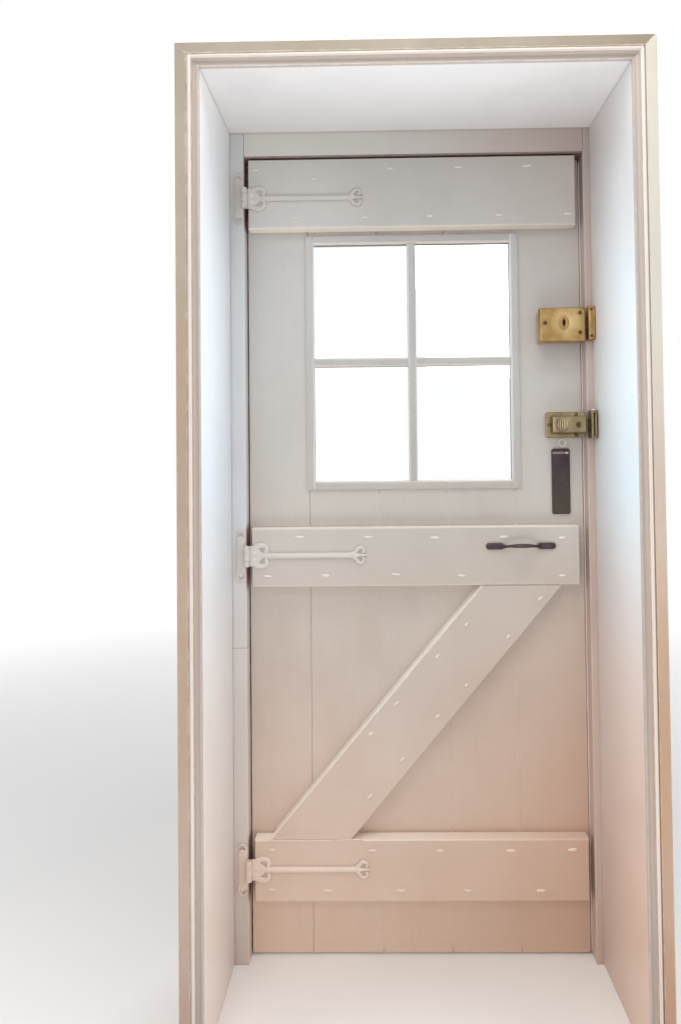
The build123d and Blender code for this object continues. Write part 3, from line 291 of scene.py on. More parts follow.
# Paint colours by height. The warm peach low down on the leaf, the posts, the linings, the
# architraves, the ironwork and the nails is a painted reflection of warm light from the floor. The
# greys of the leaf and the sash are partly painted shade on white paint.
LEAF_TINTS = tints(
    (0.0, 228, 196, 172), (0.12, 212, 184, 164), (0.3, 192, 174, 162),
    (0.48, 188, 180, 171), (0.62, 188, 184, 179), (0.8, 186, 185, 182),
    (1.0, 194, 190, 184),
)
HINGE_POST_TINTS = tints(
    (0.0, 210, 190, 178), (0.15, 210, 197, 188), (0.35, 208, 201, 197),
    (0.55, 206, 208, 211), (0.8, 204, 206, 209), (1.0, 202, 202, 203),
)
# The lock post's pinkish brown is painted shade on its face beside the leaf.
LOCK_POST_SHADE_TINTS = tints(
    (0.0, 196, 168, 152), (0.3, 188, 164, 152), (0.6, 176, 158, 150), (0.8, 178, 160, 152),
    (1.0, 172, 160, 152),
)
HEAD_TINTS = tints((0.0, 208, 204, 199), (1.0, 208, 204, 198))
SOFFIT_TINTS = tints((0.0, 236, 234, 235), (1.0, 238, 236, 236))
# The linings' cool blue-white at mid height is painted light from the window in the leaf.
LINING_GLOW_TINTS = tints(
    (0.0, 230, 212, 202), (0.15, 236, 226, 220), (0.35, 236, 234, 233),
    (0.55, 230, 240, 248), (0.75, 232, 240, 246), (1.0, 240, 240, 240),
)
LINING_RIGHT_GLOW_TINTS = tints(
    (0.0, 214, 182, 160), (0.15, 218, 190, 174), (0.35, 222, 206, 198),
    (0.55, 226, 240, 248), (0.75, 222, 230, 236), (1.0, 214, 210, 208),
)
# The architraves' beige, darker towards the top, is partly painted shade and warm reflected light
# on white paint.
ARCHITRAVE_TINTS = tints(
    (0.0, 172, 142, 124), (0.4, 170, 146, 126), (0.7, 158, 138, 117), (1.0, 132, 120, 101),
)
RIGHT_ARCHITRAVE_TINTS = tints(
    (0.0, 170, 124, 92), (0.4, 184, 152, 124), (0.7, 206, 200, 188), (1.0, 200, 194, 180),
)
SASH_TINTS = tints(
    (0.0, 180, 178, 176), (0.55, 179, 175, 170), (0.8, 178, 178, 178), (1.0, 178, 178, 178),
)
IRON_TINTS = tints(
    (0.0, 230, 204, 186), (0.2, 226, 206, 192), (0.5, 204, 199, 194), (0.8, 196, 192, 187),
    (1.0, 196, 192, 186),
)
# Nail paint is lighter than the paint around it: a painted highlight on the raised nail ends.
NAIL_HIGHLIGHT_TINTS = tints(
    (0.0, 234, 208, 190), (0.3, 232, 214, 200), (0.6, 226, 220, 214), (1.0, 208, 206, 202),
)
PAINT_TOP = 2.03
HALF_OPENING = 0.435
OPENING_TOP = 1.985
SCARF_JOINT = 0.7441
BRACE_TOP = 0.889
HEAD_BOTTOM = 1.9272


def painted_wood(name, shades, grain_axis, gloss, shade_and_dirt=0.35, grain=1.0, detail=None, rub=0.35,
                 face_highlight=0.9):
    """Oil paint brushed along the grain of a board: brush marks, the grain under the coats, dirt
    and painted shade in the corners, painted highlights on faces that look up or down, and slight
    wear on the edges."""
    made = Shading(name)
    long_scale = [95.0, 95.0, 95.0]
    long_scale["XYZ".index(grain_axis)] = 3.2
    brush_scale = [420.0, 420.0, 420.0]
    brush_scale["XYZ".index(grain_axis)] = 9.0
    grain_field = made.noise(made.stretched(long_scale), 1, 4, 0.6, 0.35)
    brush_field = made.noise(made.stretched(brush_scale, (3.1, 1.7, 0.4)), 1, 3, 0.6, 0.15)
    cloud_field = made.noise(made.stretched((5, 5, 3.4), (0.7, 2.3, 5.1)), 1, 4, 0.6)
    lump_field = made.noise(made.stretched((46, 46, 46), (9.3, 4.1, 2.2)), 1, 2, 0.5)
    colour = made.ramp(made.spread(made.axis("Z"), 0, PAINT_TOP), shades)
    for field, low, high, amount, tint in (
        (cloud_field, 0.35, 0.7, 0.16, (222, 219, 214)),
        (cloud_field, 0.52, 0.3, 0.10, (172, 158, 144)),
        (grain_field, 0.56, 0.72, 0.10 * grain, (168, 152, 138)),
        (brush_field, 0.3, 0.75, 0.02 + 0.04 * grain, (232, 229, 224)),
    ):
        colour = made.mix(made.spread(field, low, high, 0.0, amount), colour, shade(*tint))
    speck = made.spread(made.voronoi(made.stretched((70, 70, 70))), 0.0, 0.055, 1.0, 0.0)
    speck = made.product(speck, made.spread(cloud_field, 0.5, 0.62))
    colour = made.mix(made.product(speck, 0.35), colour, shade(142, 120, 104))
    # Painted shade, mixed with dirt: darker in the corners.
    colour = made.mix(made.product(made.crevice(0.007), shade_and_dirt), colour, shade(156, 128, 116))
    # Painted highlight: faces that look up or down are made lighter.
    highlit_faces = made.math("MAXIMUM", made.facing("Z"), made.facing("Z", -1))
    colour = made.mix(made.product(highlit_faces, face_highlight), colour, shade(255, 243, 230))
    if detail:
        colour = detail(made, colour)
    rubbed = made.product(made.edge(0.003), made.spread(lump_field, 0.45, 0.62))
    colour = made.mix(made.product(rubbed, rub), colour, shade(228, 222, 214))
    surface = made.bump(lump_field, 0.22, 0.0009)
    surface = made.bump(grain_field, 0.32 * grain, 0.0006, surface)
    surface = made.bump(brush_field, 0.04 + 0.18 * grain, 0.00025, surface)
    made.set(
        Base_Color=colour,
        Roughness=made.spread(brush_field, 0.3, 0.7, gloss - 0.06 * grain, gloss + 0.08 * grain),
        Normal=surface,
        Specular_IOR_Level=0.5,
    )
    return made.material


def hinge_post_detail(made, colour):
    """Painted shadow in dark red where the ledges shade the rebate, and a scarf joint lower down.
    """
    height = made.axis("Z")
    beside = 0.0
    for low, high in ((0.895, 1.022), (1.765, 1.925), (0.160, 0.285)):
        beside = made.math("MAXIMUM", beside, made.band(height, low, high, 0.02))
    ledge_shadow = made.product(beside, made.facing("X"))
    colour = made.mix(made.product(ledge_shadow, 0.9), colour, shade(158, 106, 108))
    joint = made.band(height, SCARF_JOINT - 0.0005, SCARF_JOINT + 0.0005, 0.0008)
    return made.mix(made.product(joint, 0.6), colour, shade(140, 112, 104))


def warm_glow_and_shade(made, colour):
    """A detail for painted wood: a painted warm glow of reflected light low down on the lock side,
    and painted shade a little greyer above.
    """
    low = made.product(
        made.spread(made.axis("X"), -0.05, 0.4, 0.0, 0.5), made.spread(made.axis("Z"), 1.0, 0.4)
    )
    colour = made.mix(low, colour, shade(180, 136, 106))
    high = made.product(
        made.spread(made.axis("X"), 0.0, 0.4, 0.0, 0.5), made.spread(made.axis("Z"), 1.1, 1.8)
    )
    return made.mix(high, colour, shade(176, 164, 156))


def shade_to_the_lock_side(made, colour):
    """A detail for the head: painted shade, browner towards the lock side, and a dark red band of
    painted shade along its lower edge, over the gap above the leaf.
    """
    colour = made.mix(
        made.spread(made.axis("X"), 0.0, 0.42, 0.0, 0.8), colour, shade(172, 150, 142)
    )
    lower = made.band(made.axis("Z"), 1.9, HEAD_BOTTOM, 0.0012)
    return made.mix(made.product(lower, 0.85), colour, shade(112, 82, 82))


def brace_detail(made, colour):
    """The brace is browner low down with a painted warm glow, pale on its upper side with a
    painted highlight, and has a fine joint at its top.
    """
    colour = warm_glow_and_shade(made, colour)
    # Painted highlight on the upper side of the brace.
    upper = made.math("MAXIMUM", made.facing("X", -1), made.facing("Z"))
    pale = made.math("MINIMUM", made.product(upper, 1.6), 1.0)
    colour = made.mix(pale, colour, shade(254, 248, 240))
    joint = made.band(made.axis("Z"), BRACE_TOP - 0.0018, BRACE_TOP, 0.0006)
    return made.mix(made.product(joint, 0.7), colour, shade(128, 106, 96))


def sash_side_light(made, colour):
    """A detail for the sash: painted light from the window makes the sides of its members brighter
    than their faces.
    """
    side = made.math("MAXIMUM", made.facing("X"), made.facing("X", -1))
    return made.mix(made.product(side, 0.85), colour, shade(254, 254, 254))


def shade_deeper_in(amount, tint, front=-0.12, back=0.107):
    """A detail for painted wood: painted shade, the colour shifts towards tint further back in the
    reveal.
    """

    def detail(made, colour):
        share = made.spread(made.axis("Y"), front, back, 0.0, amount)
        return made.mix(share, colour, tint)

    return detail


def moulded(axis, inner):
    """A detail for painted wood: painted shade makes the hollow greyer, and painted highlights
    make the bead and the inner arris pale.
    The moulding is measured outwards along axis from inner."""

    def detail(made, colour):
        out = made.math("SUBTRACT", made.math("ABSOLUTE", made.axis(axis)), inner)
        hollow = made.band(out, 0.0035, 0.0135, 0.0008)
        colour = made.mix(made.product(hollow, 0.8), colour, shade(168, 154, 146))
        bead = made.band(out, 0.0150, 0.0225, 0.0012)
        colour = made.mix(made.product(bead, 0.8), colour, shade(222, 212, 204))
        arris = made.band(out, -0.001, 0.0028, 0.0006)
        return made.mix(made.product(arris, 0.9), colour, shade(186, 176, 170))

    return detail


def painted_iron(name, shades, metal=shade(196, 190, 184)):
    """Iron under many coats: soft lumpy paint with dirt and painted shade in its corners."""
    made = Shading(name)
    lump_field = made.noise(made.stretched((180, 180, 180)), 1, 3, 0.6)
    fine_field = made.noise(made.stretched((900, 900, 900)), 1, 2, 0.6)
    colour = made.ramp(made.spread(made.axis("Z"), 0, PAINT_TOP), shades)
    colour = made.mix(made.spread(lump_field, 0.42, 0.7, 0.0, 0.35), colour, metal)
    # Dirt and painted shade in the corners of the ironwork.
    shade_and_dirt = made.product(made.crevice(0.004, 0.4, 0.85), 0.5)
    colour = made.mix(shade_and_dirt, colour, shade(136, 108, 98))
    colour = made.mix(made.product(made.edge(0.0022), 0.3), colour, shade(238, 232, 226))
    surface = made.bump(lump_field, 0.4, 0.0006)
    surface = made.bump(fine_field, 0.2, 0.00012, surface)
    made.set(
        Base_Color=colour,
        Roughness=made.spread(fine_field, 0.3, 0.7, 0.26, 0.4),
        Normal=surface,
    )
    return made.material


def metal(name, bright, dull, stain, roughness, brushed="X", wear=0.5, metallic=1.0):
    """Worn metal: polish lines, tarnish in clouds and in the corners, bright edges."""
    made = Shading(name)
    scale = [1400.0, 1400.0, 1400.0]
    scale["XYZ".index(brushed)] = 60.0
    polish = made.noise(made.stretched(scale), 1, 2, 0.6)
    cloud = made.noise(made.stretched((38, 38, 38), (1.3, 4.7, 2.9)), 1, 3, 0.55, 0.4)
    pits = made.noise(made.stretched((620, 620, 620), (4.3, 0.7, 1.9)), 1, 2, 0.5)
    bright, dull, stain = shade(*bright), shade(*dull), shade(*stain)
    colour = made.mix(made.spread(cloud, 0.36, 0.66), bright, dull)
    colour = made.mix(made.spread(pits, 0.62, 0.76, 0.0, 0.3), colour, stain)
    colour = made.mix(made.product(made.crevice(0.006, 0.45, 0.95), 0.75), colour, stain)
    colour = made.mix(made.product(made.edge(0.0012), wear), colour, bright)
    surface = made.bump(cloud, 0.15, 0.0004)
    surface = made.bump(polish, 0.2, 0.00006, surface)
    surface = made.bump(pits, 0.25, 0.0001, surface)
    made.set(
        Base_Color=colour,
        Metallic=metallic,
        Roughness=made.math(
            "ADD",
            made.spread(cloud, 0.3, 0.7, roughness - 0.07, roughness + 0.12),
            made.spread(polish, 0.3, 0.7, -0.04, 0.04),
        ),
        Normal=surface,
    )
    return made.material


def window_glass():
    made = Shading("window_glass")
    waves = made.noise(made.stretched((9, 9, 6)), 1, 1, 0.4)
    dust = made.noise(made.stretched((140, 140, 140)), 1, 3, 0.6)
    made.set(
        Base_Color=(0.985, 0.995, 0.99, 1),
        Roughness=made.spread(dust, 0.45, 0.8, 0.0, 0.05),
        Transmission_Weight=1.0,
        IOR=1.5,
        Normal=made.bump(waves, 0.2, 0.0008),
    )
    return made.material


def patched(name, base, centre, reach, inner, outer, amount, tint):
    """A copy of a metal with an oval patch of another colour, centred at x and z."""
    made = Shading(name, base)
    across = made.math("DIVIDE", made.math("SUBTRACT", made.axis("X"), centre[0]), reach[0])
    along = made.math("DIVIDE", made.math("SUBTRACT", made.axis("Z"), centre[1]), reach[1])
    squares = made.math("ADD", made.product(across, across), made.product(along, along))
    distance = made.math("SQRT", squares)
    before = made.shader.inputs["Base Color"].links[0].from_socket
    colour = made.mix(made.spread(distance, inner, outer, amount, 0.0), before, shade(*tint))
    made.set(Base_Color=colour)
    return made.material


paint_boards = painted_wood("paint_boards", LEAF_TINTS, "Z", 0.42, 0.35, 0.7, warm_glow_and_shade)
paint_joints = painted_wood("paint_joints", LEAF_TINTS, "Z", 0.42, 0.0, 0.7, warm_glow_and_shade, 0.0)
paint_ledges = painted_wood("paint_ledges", LEAF_TINTS, "X", 0.42, 0.3, 0.7, warm_glow_and_shade)
paint_brace = painted_wood("paint_brace", LEAF_TINTS, "X", 0.42, 0.0, 0.7, brace_detail)
paint_hinge_post = painted_wood(
    "paint_hinge_post", HINGE_POST_TINTS, "Z", 0.4, 0.35, 0.6, hinge_post_detail
)
# Painted shade: the lock post's pinkish brown, also used for the dark paint in the gap on the
# hinge side.
paint_lock_post_shaded = painted_wood("paint_lock_post_shaded", LOCK_POST_SHADE_TINTS, "Z", 0.4, 0.2, 0.6)
paint_head = painted_wood("paint_head", HEAD_TINTS, "X", 0.4, 0.35, 0.6, shade_to_the_lock_side, 0.35, 0.0)
paint_lining_left = painted_wood(
    "paint_lining_left", LINING_GLOW_TINTS, "Z", 0.36, 0.25, 0.12, shade_deeper_in(0.3, shade(196, 196, 200))
)
paint_lining_right = painted_wood(
    "paint_lining_right", LINING_RIGHT_GLOW_TINTS, "Z", 0.36, 0.25, 0.12,
    shade_deeper_in(0.55, shade(192, 180, 176)),
)
paint_soffit = painted_wood(
    "paint_soffit", SOFFIT_TINTS, "X", 0.36, 0.25, 0.12,
    shade_deeper_in(0.25, shade(208, 206, 206)), 0.2, 0.0,
)
paint_architrave_left = painted_wood(
    "paint_architrave_left", ARCHITRAVE_TINTS, "Z", 0.36, 0.2, 0.5, moulded("X", HALF_OPENING)
)
paint_architrave_right = painted_wood(
    "paint_architrave_right", RIGHT_ARCHITRAVE_TINTS, "Z", 0.36, 0.2, 0.5,
    moulded("X", HALF_OPENING),
)
paint_architrave_head = painted_wood(
    "paint_architrave_head", ARCHITRAVE_TINTS, "X", 0.36, 0.2, 0.5, moulded("Z", OPENING_TOP)
)
paint_sash = painted_wood("paint_sash", SASH_TINTS, "Z", 0.38, 0.0, 0.4, sash_side_light, 0.0)
# Pale paint for the lock side gap, lighter than the post around it: painted light that keeps the
# gap from reading dark.
gap_painted_light = painted_wood(
    "gap_painted_light", tints((0.0, 240, 214, 202), (1.0, 236, 220, 214)), "Z", 0.42, 0.0, 0.5,
    None, 0.0
)
iron_paint = painted_iron("iron_paint", IRON_TINTS)
putty_paint = painted_iron("putty_paint", SASH_TINTS)
golden = metal("golden_brass", (182, 150, 98), (154, 124, 78), (90, 64, 38), 0.36, "Z", 0.35)
brown_gold = metal("brown_gold", (206, 170, 114), (164, 128, 82), (70, 50, 32), 0.38, "Z", 0.35)
aged = metal("aged_brass", (166, 149, 119), (140, 124, 96), (76, 62, 44), 0.4)
# A dark oval round the keyhole: painted shade that makes its dark opening look larger.
keyhole_brass_shade = patched(
    "keyhole_brass_shade", golden, (0.360, 1.509), (0.0042, 0.0105), 0.55, 1.25, 1.0, (46, 30, 18)
)
# A pale oval on the rim lock's case: a painted highlight on the brass.
case_brass_glint = patched(
    "case_brass_glint", golden, (0.370, 1.510), (0.044, 0.040), 0.1, 1.0, 0.65, (228, 204, 154)
)
case_aged = patched(
    "case_aged", aged, (0.386, 1.270), (0.022, 0.05), 0.3, 1.4, 0.45, (134, 116, 88)
)
steel_gold = metal("rubbed_brass", (206, 188, 152), (160, 140, 104), (84, 70, 46), 0.34)
screw_olive = metal("screw_olive", (122, 108, 70), (88, 76, 48), (44, 36, 24), 0.42)
screw_bronze = metal("screw_bronze", (116, 88, 56), (74, 54, 36), (34, 24, 18), 0.42)
pale_wire = metal(
    "pale_wire", (240, 236, 226), (214, 206, 192), (150, 140, 126), 0.3, "X", 0.5, 0.4
)
steel = metal("bright_steel", (206, 202, 192), (160, 152, 138), (84, 74, 60), 0.3)
bronze = metal("dark_bronze", (104, 88, 66), (70, 58, 44), (34, 26, 20), 0.4)
# Lighter paint for nail ends and paint beads: a painted highlight on raised paint.
nail_highlight_paint = painted_iron("nail_highlight_paint", NAIL_HIGHLIGHT_TINTS)
band_metal = metal(
    "band_metal", (150, 134, 138), (116, 100, 104), (60, 48, 50), 0.42, "X", 0.5, 0.5
)
black = metal("black_iron", (78, 60, 64), (50, 37, 41), (26, 18, 20), 0.4, "X", 0.4, 0.25)
dark = metal("dark_plate_finish", (66, 50, 56), (50, 38, 44), (34, 26, 27), 0.42, "Z", 0.3, 0.2)
dark = patched("dark_plate_worn", dark, (0.361, 1.06), (0.2, 0.11), 0.1, 1.0, 0.8, (70, 62, 48))
glass = window_glass()

FINISHES = (
    (paint_hinge_post, "hinge_post"),
    (paint_lock_post_shaded, "lock_post"),
    (paint_head, "frame_head"),
    (paint_lining_left, "lining_left"),
    (paint_lining_right, "lining_right"),
    (paint_soffit, "lining_soffit"),
    (paint_architrave_left, "architrave_left"),
    (paint_architrave_right, "architrave_right"),
    (paint_architrave_head, "architrave_head"),
    (paint_boards, "boards_above_window board_1 board_2 board_3 board_4 board_5"),
    (paint_ledges, "ledge_top ledge_middle ledge_bottom rim_lock_block night_latch_block"),
    (paint_brace, "brace"),
    (paint_sash, "sash_stile_left sash_stile_right glazing_bar_upright sash_rail_bottom"
     " sash_rail_top glazing_bars_cross"),
    (putty_paint, "glazing_putty"),
    (iron_paint, "clench_nails hinge_pins hinge_plate_screws strap_screws hinge_plate_top"
     " hinge_strap_top hinge_plate_middle hinge_strap_middle hinge_plate_bottom"
     " hinge_strap_bottom"),
    (black, "pull_handle"),
    (dark, "dark_plate"),
    (case_brass_glint, "rim_lock_case"),
    (keyhole_brass_shade, "rim_lock_escutcheon"),
    (brown_gold, "rim_lock_keep"),
    (golden, "rim_lock_bolt"),
    (steel, "rim_lock_levers"),
    (screw_bronze, "rim_lock_screws keep_screws"),
    (pale_wire, "key_hook"),
    (aged, "night_latch_backplate night_latch_knob night_latch_bolt night_latch_keep"
     " night_latch_cylinder night_latch_screws"),
    (case_aged, "night_latch_case"),
    (bronze, "night_latch_snib"),
    (glass, "pane_bottom_left pane_top_left pane_bottom_right pane_top_right"),
)
finishes = {name: finish for finish, names in FINISHES for name in names.split()}
for name, node in nodes.items():
    for slot in node.material_slots:
        slot.material = finishes[name]


def round_edges(piece, width, segments=2, angle=0.6, even=True):
    """Round the edges of a piece by a small bevel."""
    bevel = piece.modifiers.new("bevel", "BEVEL")
    bevel.width = width
    bevel.segments = segments
    bevel.limit_method = "ANGLE"
    bevel.angle_limit = angle
    bevel.harden_normals = even


def fuse(piece, voxel, rounds):
    """Fuse a piece's overlapping shells into one skin and round it off."""
    remesh = piece.modifiers.new("remesh", "REMESH")
    remesh.mode = "VOXEL"
    remesh.voxel_size = voxel
    remesh.use_smooth_shade = True
    smooth = piece.modifiers.new("smooth", "SMOOTH")
    smooth.factor = 0.5
    smooth.iterations = rounds


WELD_REACH = 0.00002
SOFT_EDGES = (
    (0.0012, 2, "ledge_top ledge_middle ledge_bottom brace hinge_post lock_post frame_head"),
    (0.0006, 2, "board_1 board_2 board_3 board_4 board_5 boards_above_window"),
    (0.0006, 2, "architrave_left architrave_right architrave_head"),
    (0.001, 2, "lining_left lining_right lining_soffit"),
    (0.0015, 3, "rim_lock_block night_latch_block"),
    (0.0004, 2, "rim_lock_case rim_lock_keep rim_lock_escutcheon dark_plate"),
    (0.0004, 2, "night_latch_case night_latch_backplate night_latch_keep night_latch_knob"),
)
for width, segments, names in SOFT_EDGES:
    for name in names.split():
        weld = nodes[name].modifiers.new("weld", "WELD")
        weld.merge_threshold = WELD_REACH
        round_edges(nodes[name], width, segments)
        normals = nodes[name].modifiers.new("normals", "WEIGHTED_NORMAL")
        normals.keep_sharp = True
fuse(nodes["key_hook"], 0.0003, 3)


def add_piece(name, bm, material, body, slot_name, *replaced, smooth=True):
    """Turn a bmesh into a piece that rides on a body and stands for the replaced nodes."""
    bmesh.ops.recalc_face_normals(bm, faces=bm.faces)
    mesh = bpy.data.meshes.new(name)
    bm.to_mesh(mesh)
    bm.free()
    mesh.materials.append(material)
    for face in mesh.polygons:
        face.use_smooth = smooth
    piece = bpy.data.objects.new(name, mesh)
    scene.collection.objects.link(piece)
    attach(piece, body)
    if replaced:
        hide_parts(*replaced)
    return piece


def through(points, steps=6):
    """Points on a smooth line through points of any number of values each."""
    line = []
    for index in range(len(points) - 1):
        before = points[max(index - 1, 0)]
        first, second = points[index], points[index + 1]
        after = points[min(index + 2, len(points) - 1)]
        for step in range(steps):
            t = step / steps
            line.append(tuple(
                0.5 * (2 * b + (c - a) * t + (2 * a - 5 * b + 4 * c - d) * t * t
                       + (3 * b - a - 3 * c + d) * t ** 3)
                for a, b, c, d in zip(before, first, second, after)
            ))
    line.append(tuple(points[-1]))
    return line


def skin(bm, rings):
    """Join closed rings of vertices in a row and close both ends."""
    around = len(rings[0])
    for first, second in zip(rings, rings[1:]):
        for side in range(around):
            after = (side + 1) % around
            bm.faces.new((first[side], first[after], second[after], second[side]))
    bm.faces.new(rings[0])
    bm.faces.new(rings[-1])


def add_stroke(bm, points, back_y, squareness=1.0, sides=12, smooth_steps=6):
    """A stroke laid on the face at depth back_y. Each point gives x, z, half width and height;
    the stroke is flat behind and domed in front, or flatter where squareness is under 1."""
    line = through(points, smooth_steps)
    rings = []
    for index, (x, z, half, height) in enumerate(line):
        x0, z0 = line[max(index - 1, 0)][:2]
        x1, z1 = line[min(index + 1, len(line) - 1)][:2]
        length = sqrt((x1 - x0) ** 2 + (z1 - z0) ** 2) or 1.0
        across_x, across_z = (z1 - z0) / length, -(x1 - x0) / length
        ring = []
        for side in range(sides + 1):
            angle = pi * side / sides
            out = abs(cos(angle)) ** squareness * (1 if cos(angle) >= 0 else -1)
            rise = abs(sin(angle)) ** squareness
            ring.append(bm.verts.new(
                (x + across_x * half * out, back_y - height * rise, z + across_z * half * out)
            ))
        rings.append(ring)
    skin(bm, rings)


def welded(mesh):
    """A bmesh of a mesh, with its split vertices joined."""
    bm = bmesh.new()
    bm.from_mesh(mesh)
    bmesh.ops.remove_doubles(bm, verts=bm.verts, dist=WELD_REACH)
    return bm


def cad_share(node, keep):
    """A closed copy of the part of a node's mesh for which each (point, outward) plane keeps the
    side behind it."""
    bm = welded(nodes[node].data)
    for point, outward in keep:
        cut = bmesh.ops.bisect_plane(
            bm, geom=bm.verts[:] + bm.edges[:] + bm.faces[:], dist=0.000001,
            plane_co=point, plane_no=outward, clear_outer=True,
        )
        edges = [item for item in cut["geom_cut"] if isinstance(item, bmesh.types.BMEdge)]
        bmesh.ops.holes_fill(bm, edges=edges, sides=0)
    return bm


def mm(*points):
    """Points given in millimetres, in metres."""
    return [tuple(value / 1000 for value in point) for point in points]


def lay(bm, place, points, squareness, sides=12):
    """A stroke on the ledges through points in millimetres, measured from a place on them."""
    moved = [(place[0] + x, place[1] + z, half, tall) for x, z, half, tall in mm(*points)]
    add_stroke(bm, moved, ironwork_back, squareness, sides)


# Strap hinges under many coats of paint: scrolled roots and tips, half-round bars
face_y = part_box("ledge_middle")[0][1]
pin_x = -0.3985
pin_z = {"top": 1.824, "middle": 0.963, "bottom": 0.223}
ironwork_back = face_y + 0.0002
for place, height in pin_z.items():
    bm = cad_share(f"hinge_strap_{place}", [((pin_x + 0.014, 0, 0), (1, 0, 0))])
    pin = (pin_x, height)
    lay(bm, pin, (
        (8.5, 0, 23, 4), (16, 0, 21, 4.2), (24, 0, 18, 4.2), (30, 0, 14.5, 4.4), (35, 0, 9, 4.6),
        (42, 0, 6.8, 5), (54, 0, 7.6, 5),
    ), 0.45, 16)
    for side in (1, -1):
        lay(bm, pin, (
            (14, 16 * side, 7.4, 4), (24, 22.5 * side, 7.4, 4.6), (35, 25.2 * side, 6.4, 4.8),
            (44.5, 21.5 * side, 6, 4.8), (47.6, 14.5 * side, 5.4, 4.6), (44, 7.5 * side, 4.6, 4.4),
        ), 0.8)
    lay(bm, pin, (
        (36, 0, 7.6, 6), (52, 0, 7.9, 7.4), (90, 0, 7.7, 7.6), (150, 0, 7.4, 7.6),
        (210, 0, 7.5, 7.6), (248, 0, 7.8, 7.2), (260, 0, 8.4, 5.4),
    ), 1.0)
    for side in (1, -1):
        lay(bm, pin, (
            (254, 3.5 * side, 5.4, 5), (261.5, 10 * side, 5, 5), (266, 16.5 * side, 4.6, 5),
            (273, 18.3 * side, 4.3, 5), (279, 14.5 * side, 4.1, 4.8), (280, 8.5 * side, 3.6, 4.6),
            (275.5, 6 * side, 3, 4.2),
        ), 0.8)
    lay(bm, pin, ((256, 0, 7, 5), (266, 0, 4.6, 5), (276, 0, 3.4, 4.8), (287, 0, 2.8, 4.2)), 0.8)
    strap = add_piece(
        f"strap_{place}", bm, iron_paint, "leaf", "painted_iron", f"hinge_strap_{place}"
    )
    fuse(strap, 0.0006, 4)

    bm = cad_share(
        f"hinge_plate_{place}",
        [((0, 0, height + 0.034), (0, 0, 1)), ((0, 0, height - 0.034), (0, 0, -1))],
    )
    for side in (1, -1):
        for points in (
            ((0.3, 0, 11.6, 3.4), (0.3, 20 * side, 11.8, 3.6), (0.3, 38 * side, 11.6, 3.6),
             (0.3, 46 * side, 10.4, 3.4)),
            ((8.6 * side, 38 * side, 3.2, 3.6), (9 * side, 48 * side, 3.2, 3.8),
             (5.5 * side, 56 * side, 3.2, 3.8), (-1.5 * side, 58.6 * side, 3, 3.8),
             (-7 * side, 55.5 * side, 2.8, 3.6), (-8.2 * side, 51.5 * side, 2.4, 3.4)),
        ):
            lay(bm, (pin_x - 0.015, height), points, 0.6)
    plate = add_piece(
        f"plate_{place}", bm, iron_paint, "frame", "painted_iron", f"hinge_plate_{place}"
    )
    fuse(plate, 0.0006, 4)

# The sash, its members painted over as one frame
sash_names = (
    "sash_stile_left", "sash_stile_right", "sash_rail_top", "sash_rail_bottom",
    "glazing_bar_upright", "glazing_bars_cross",
)
members = []
for name in sash_names:
    bm = welded(nodes[name].data)
    bmesh.ops.recalc_face_normals(bm, faces=bm.faces)
    member = bpy.data.objects.new(name + "_copy", nodes[name].data.copy())
    bm.to_mesh(member.data)
    bm.free()
    scene.collection.objects.link(member)
    members.append(member)
for member in members[1:]:
    union = members[0].modifiers.new(member.name, "BOOLEAN")
    union.operation = "UNION"
    union.solver = "EXACT"
    union.object = member
shapes = bpy.context.evaluated_depsgraph_get()
joined = bpy.data.meshes.new_from_object(members[0].evaluated_get(shapes))
bm = bmesh.new()
bm.from_mesh(joined)
bmesh.ops.remove_doubles(bm, verts=bm.verts, dist=0.00003)
bmesh.ops.dissolve_limit(bm, angle_limit=0.02, verts=bm.verts, edges=bm.edges)
for member in members:
    bpy.data.objects.remove(member)
bpy.data.meshes.remove(joined)
sash = add_piece("sash_frame", bm, paint_sash, "leaf", "sash_paint", *sash_names)
round_edges(sash, 0.0012)

# Clenched nail ends: one raised lozenge for each in the source, each a little different
chance = random.Random(7)


def islands(node):
    """The lowest and the highest corner of each separate solid of a node."""
    bm = welded(nodes[node].data)
    left = set(bm.verts)
    found = []
    while left:
        todo = [left.pop()]
        group = []
        while todo:
            vertex = todo.pop()
            group.append(vertex.co.copy())
            for edge in vertex.link_edges:
                other = edge.other_vert(vertex)
                if other in left:
                    left.remove(other)
                    todo.append(other)
        low = [min(point[axis] for point in group) for axis in range(3)]
        high = [max(point[axis] for point in group) for axis in range(3)]
        found.append((low, high))
    bm.free()
    return sorted(found)


# Where the photo shows the nails that stray from their even places in the source, in pixels
STRAYED_NAILS = (
    (315.0, 178.6), (365.0, 217.0), (299.6, 537.0), (368.6, 537.0), (562.7, 537.7),
    (267.6, 576.4), (325.6, 575.6), (396.0, 574.4), (462.0, 575.5), (562.7, 575.5),
    (540.7, 598.3), (466.7, 624.3), (508.7, 636.3), (437.7, 656.0), (466.7, 685.0),
    (396.0, 703.7), (437.7, 716.3), (370.7, 734.0), (402.0, 759.3), (369.7, 796.3),
    (271.9, 850.0), (372.7, 850.8), (440.0, 850.8), (511.2, 850.8), (572.7, 850.0),
    (271.9, 890.0), (328.1, 890.8), (400.8, 890.8), (468.1, 890.8), (541.2, 890.8),
)
nails = islands("clench_nails")
middles = [
    Vector(((low[0] + high[0]) / 2, low[1], (low[2] + high[2]) / 2)) for low, high in nails
]
strayed = {}
for pixel in STRAYED_NAILS:
    nearest = min(
        set(range(len(nails))) - set(strayed),
        key=lambda index: (seen_at(*pixel, middles[index].y) - middles[index]).length,
    )
    strayed[nearest] = seen_at(*pixel, middles[nearest].y)
brace_low, brace_high = (corner[2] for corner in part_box("brace"))
bm = bmesh.new()
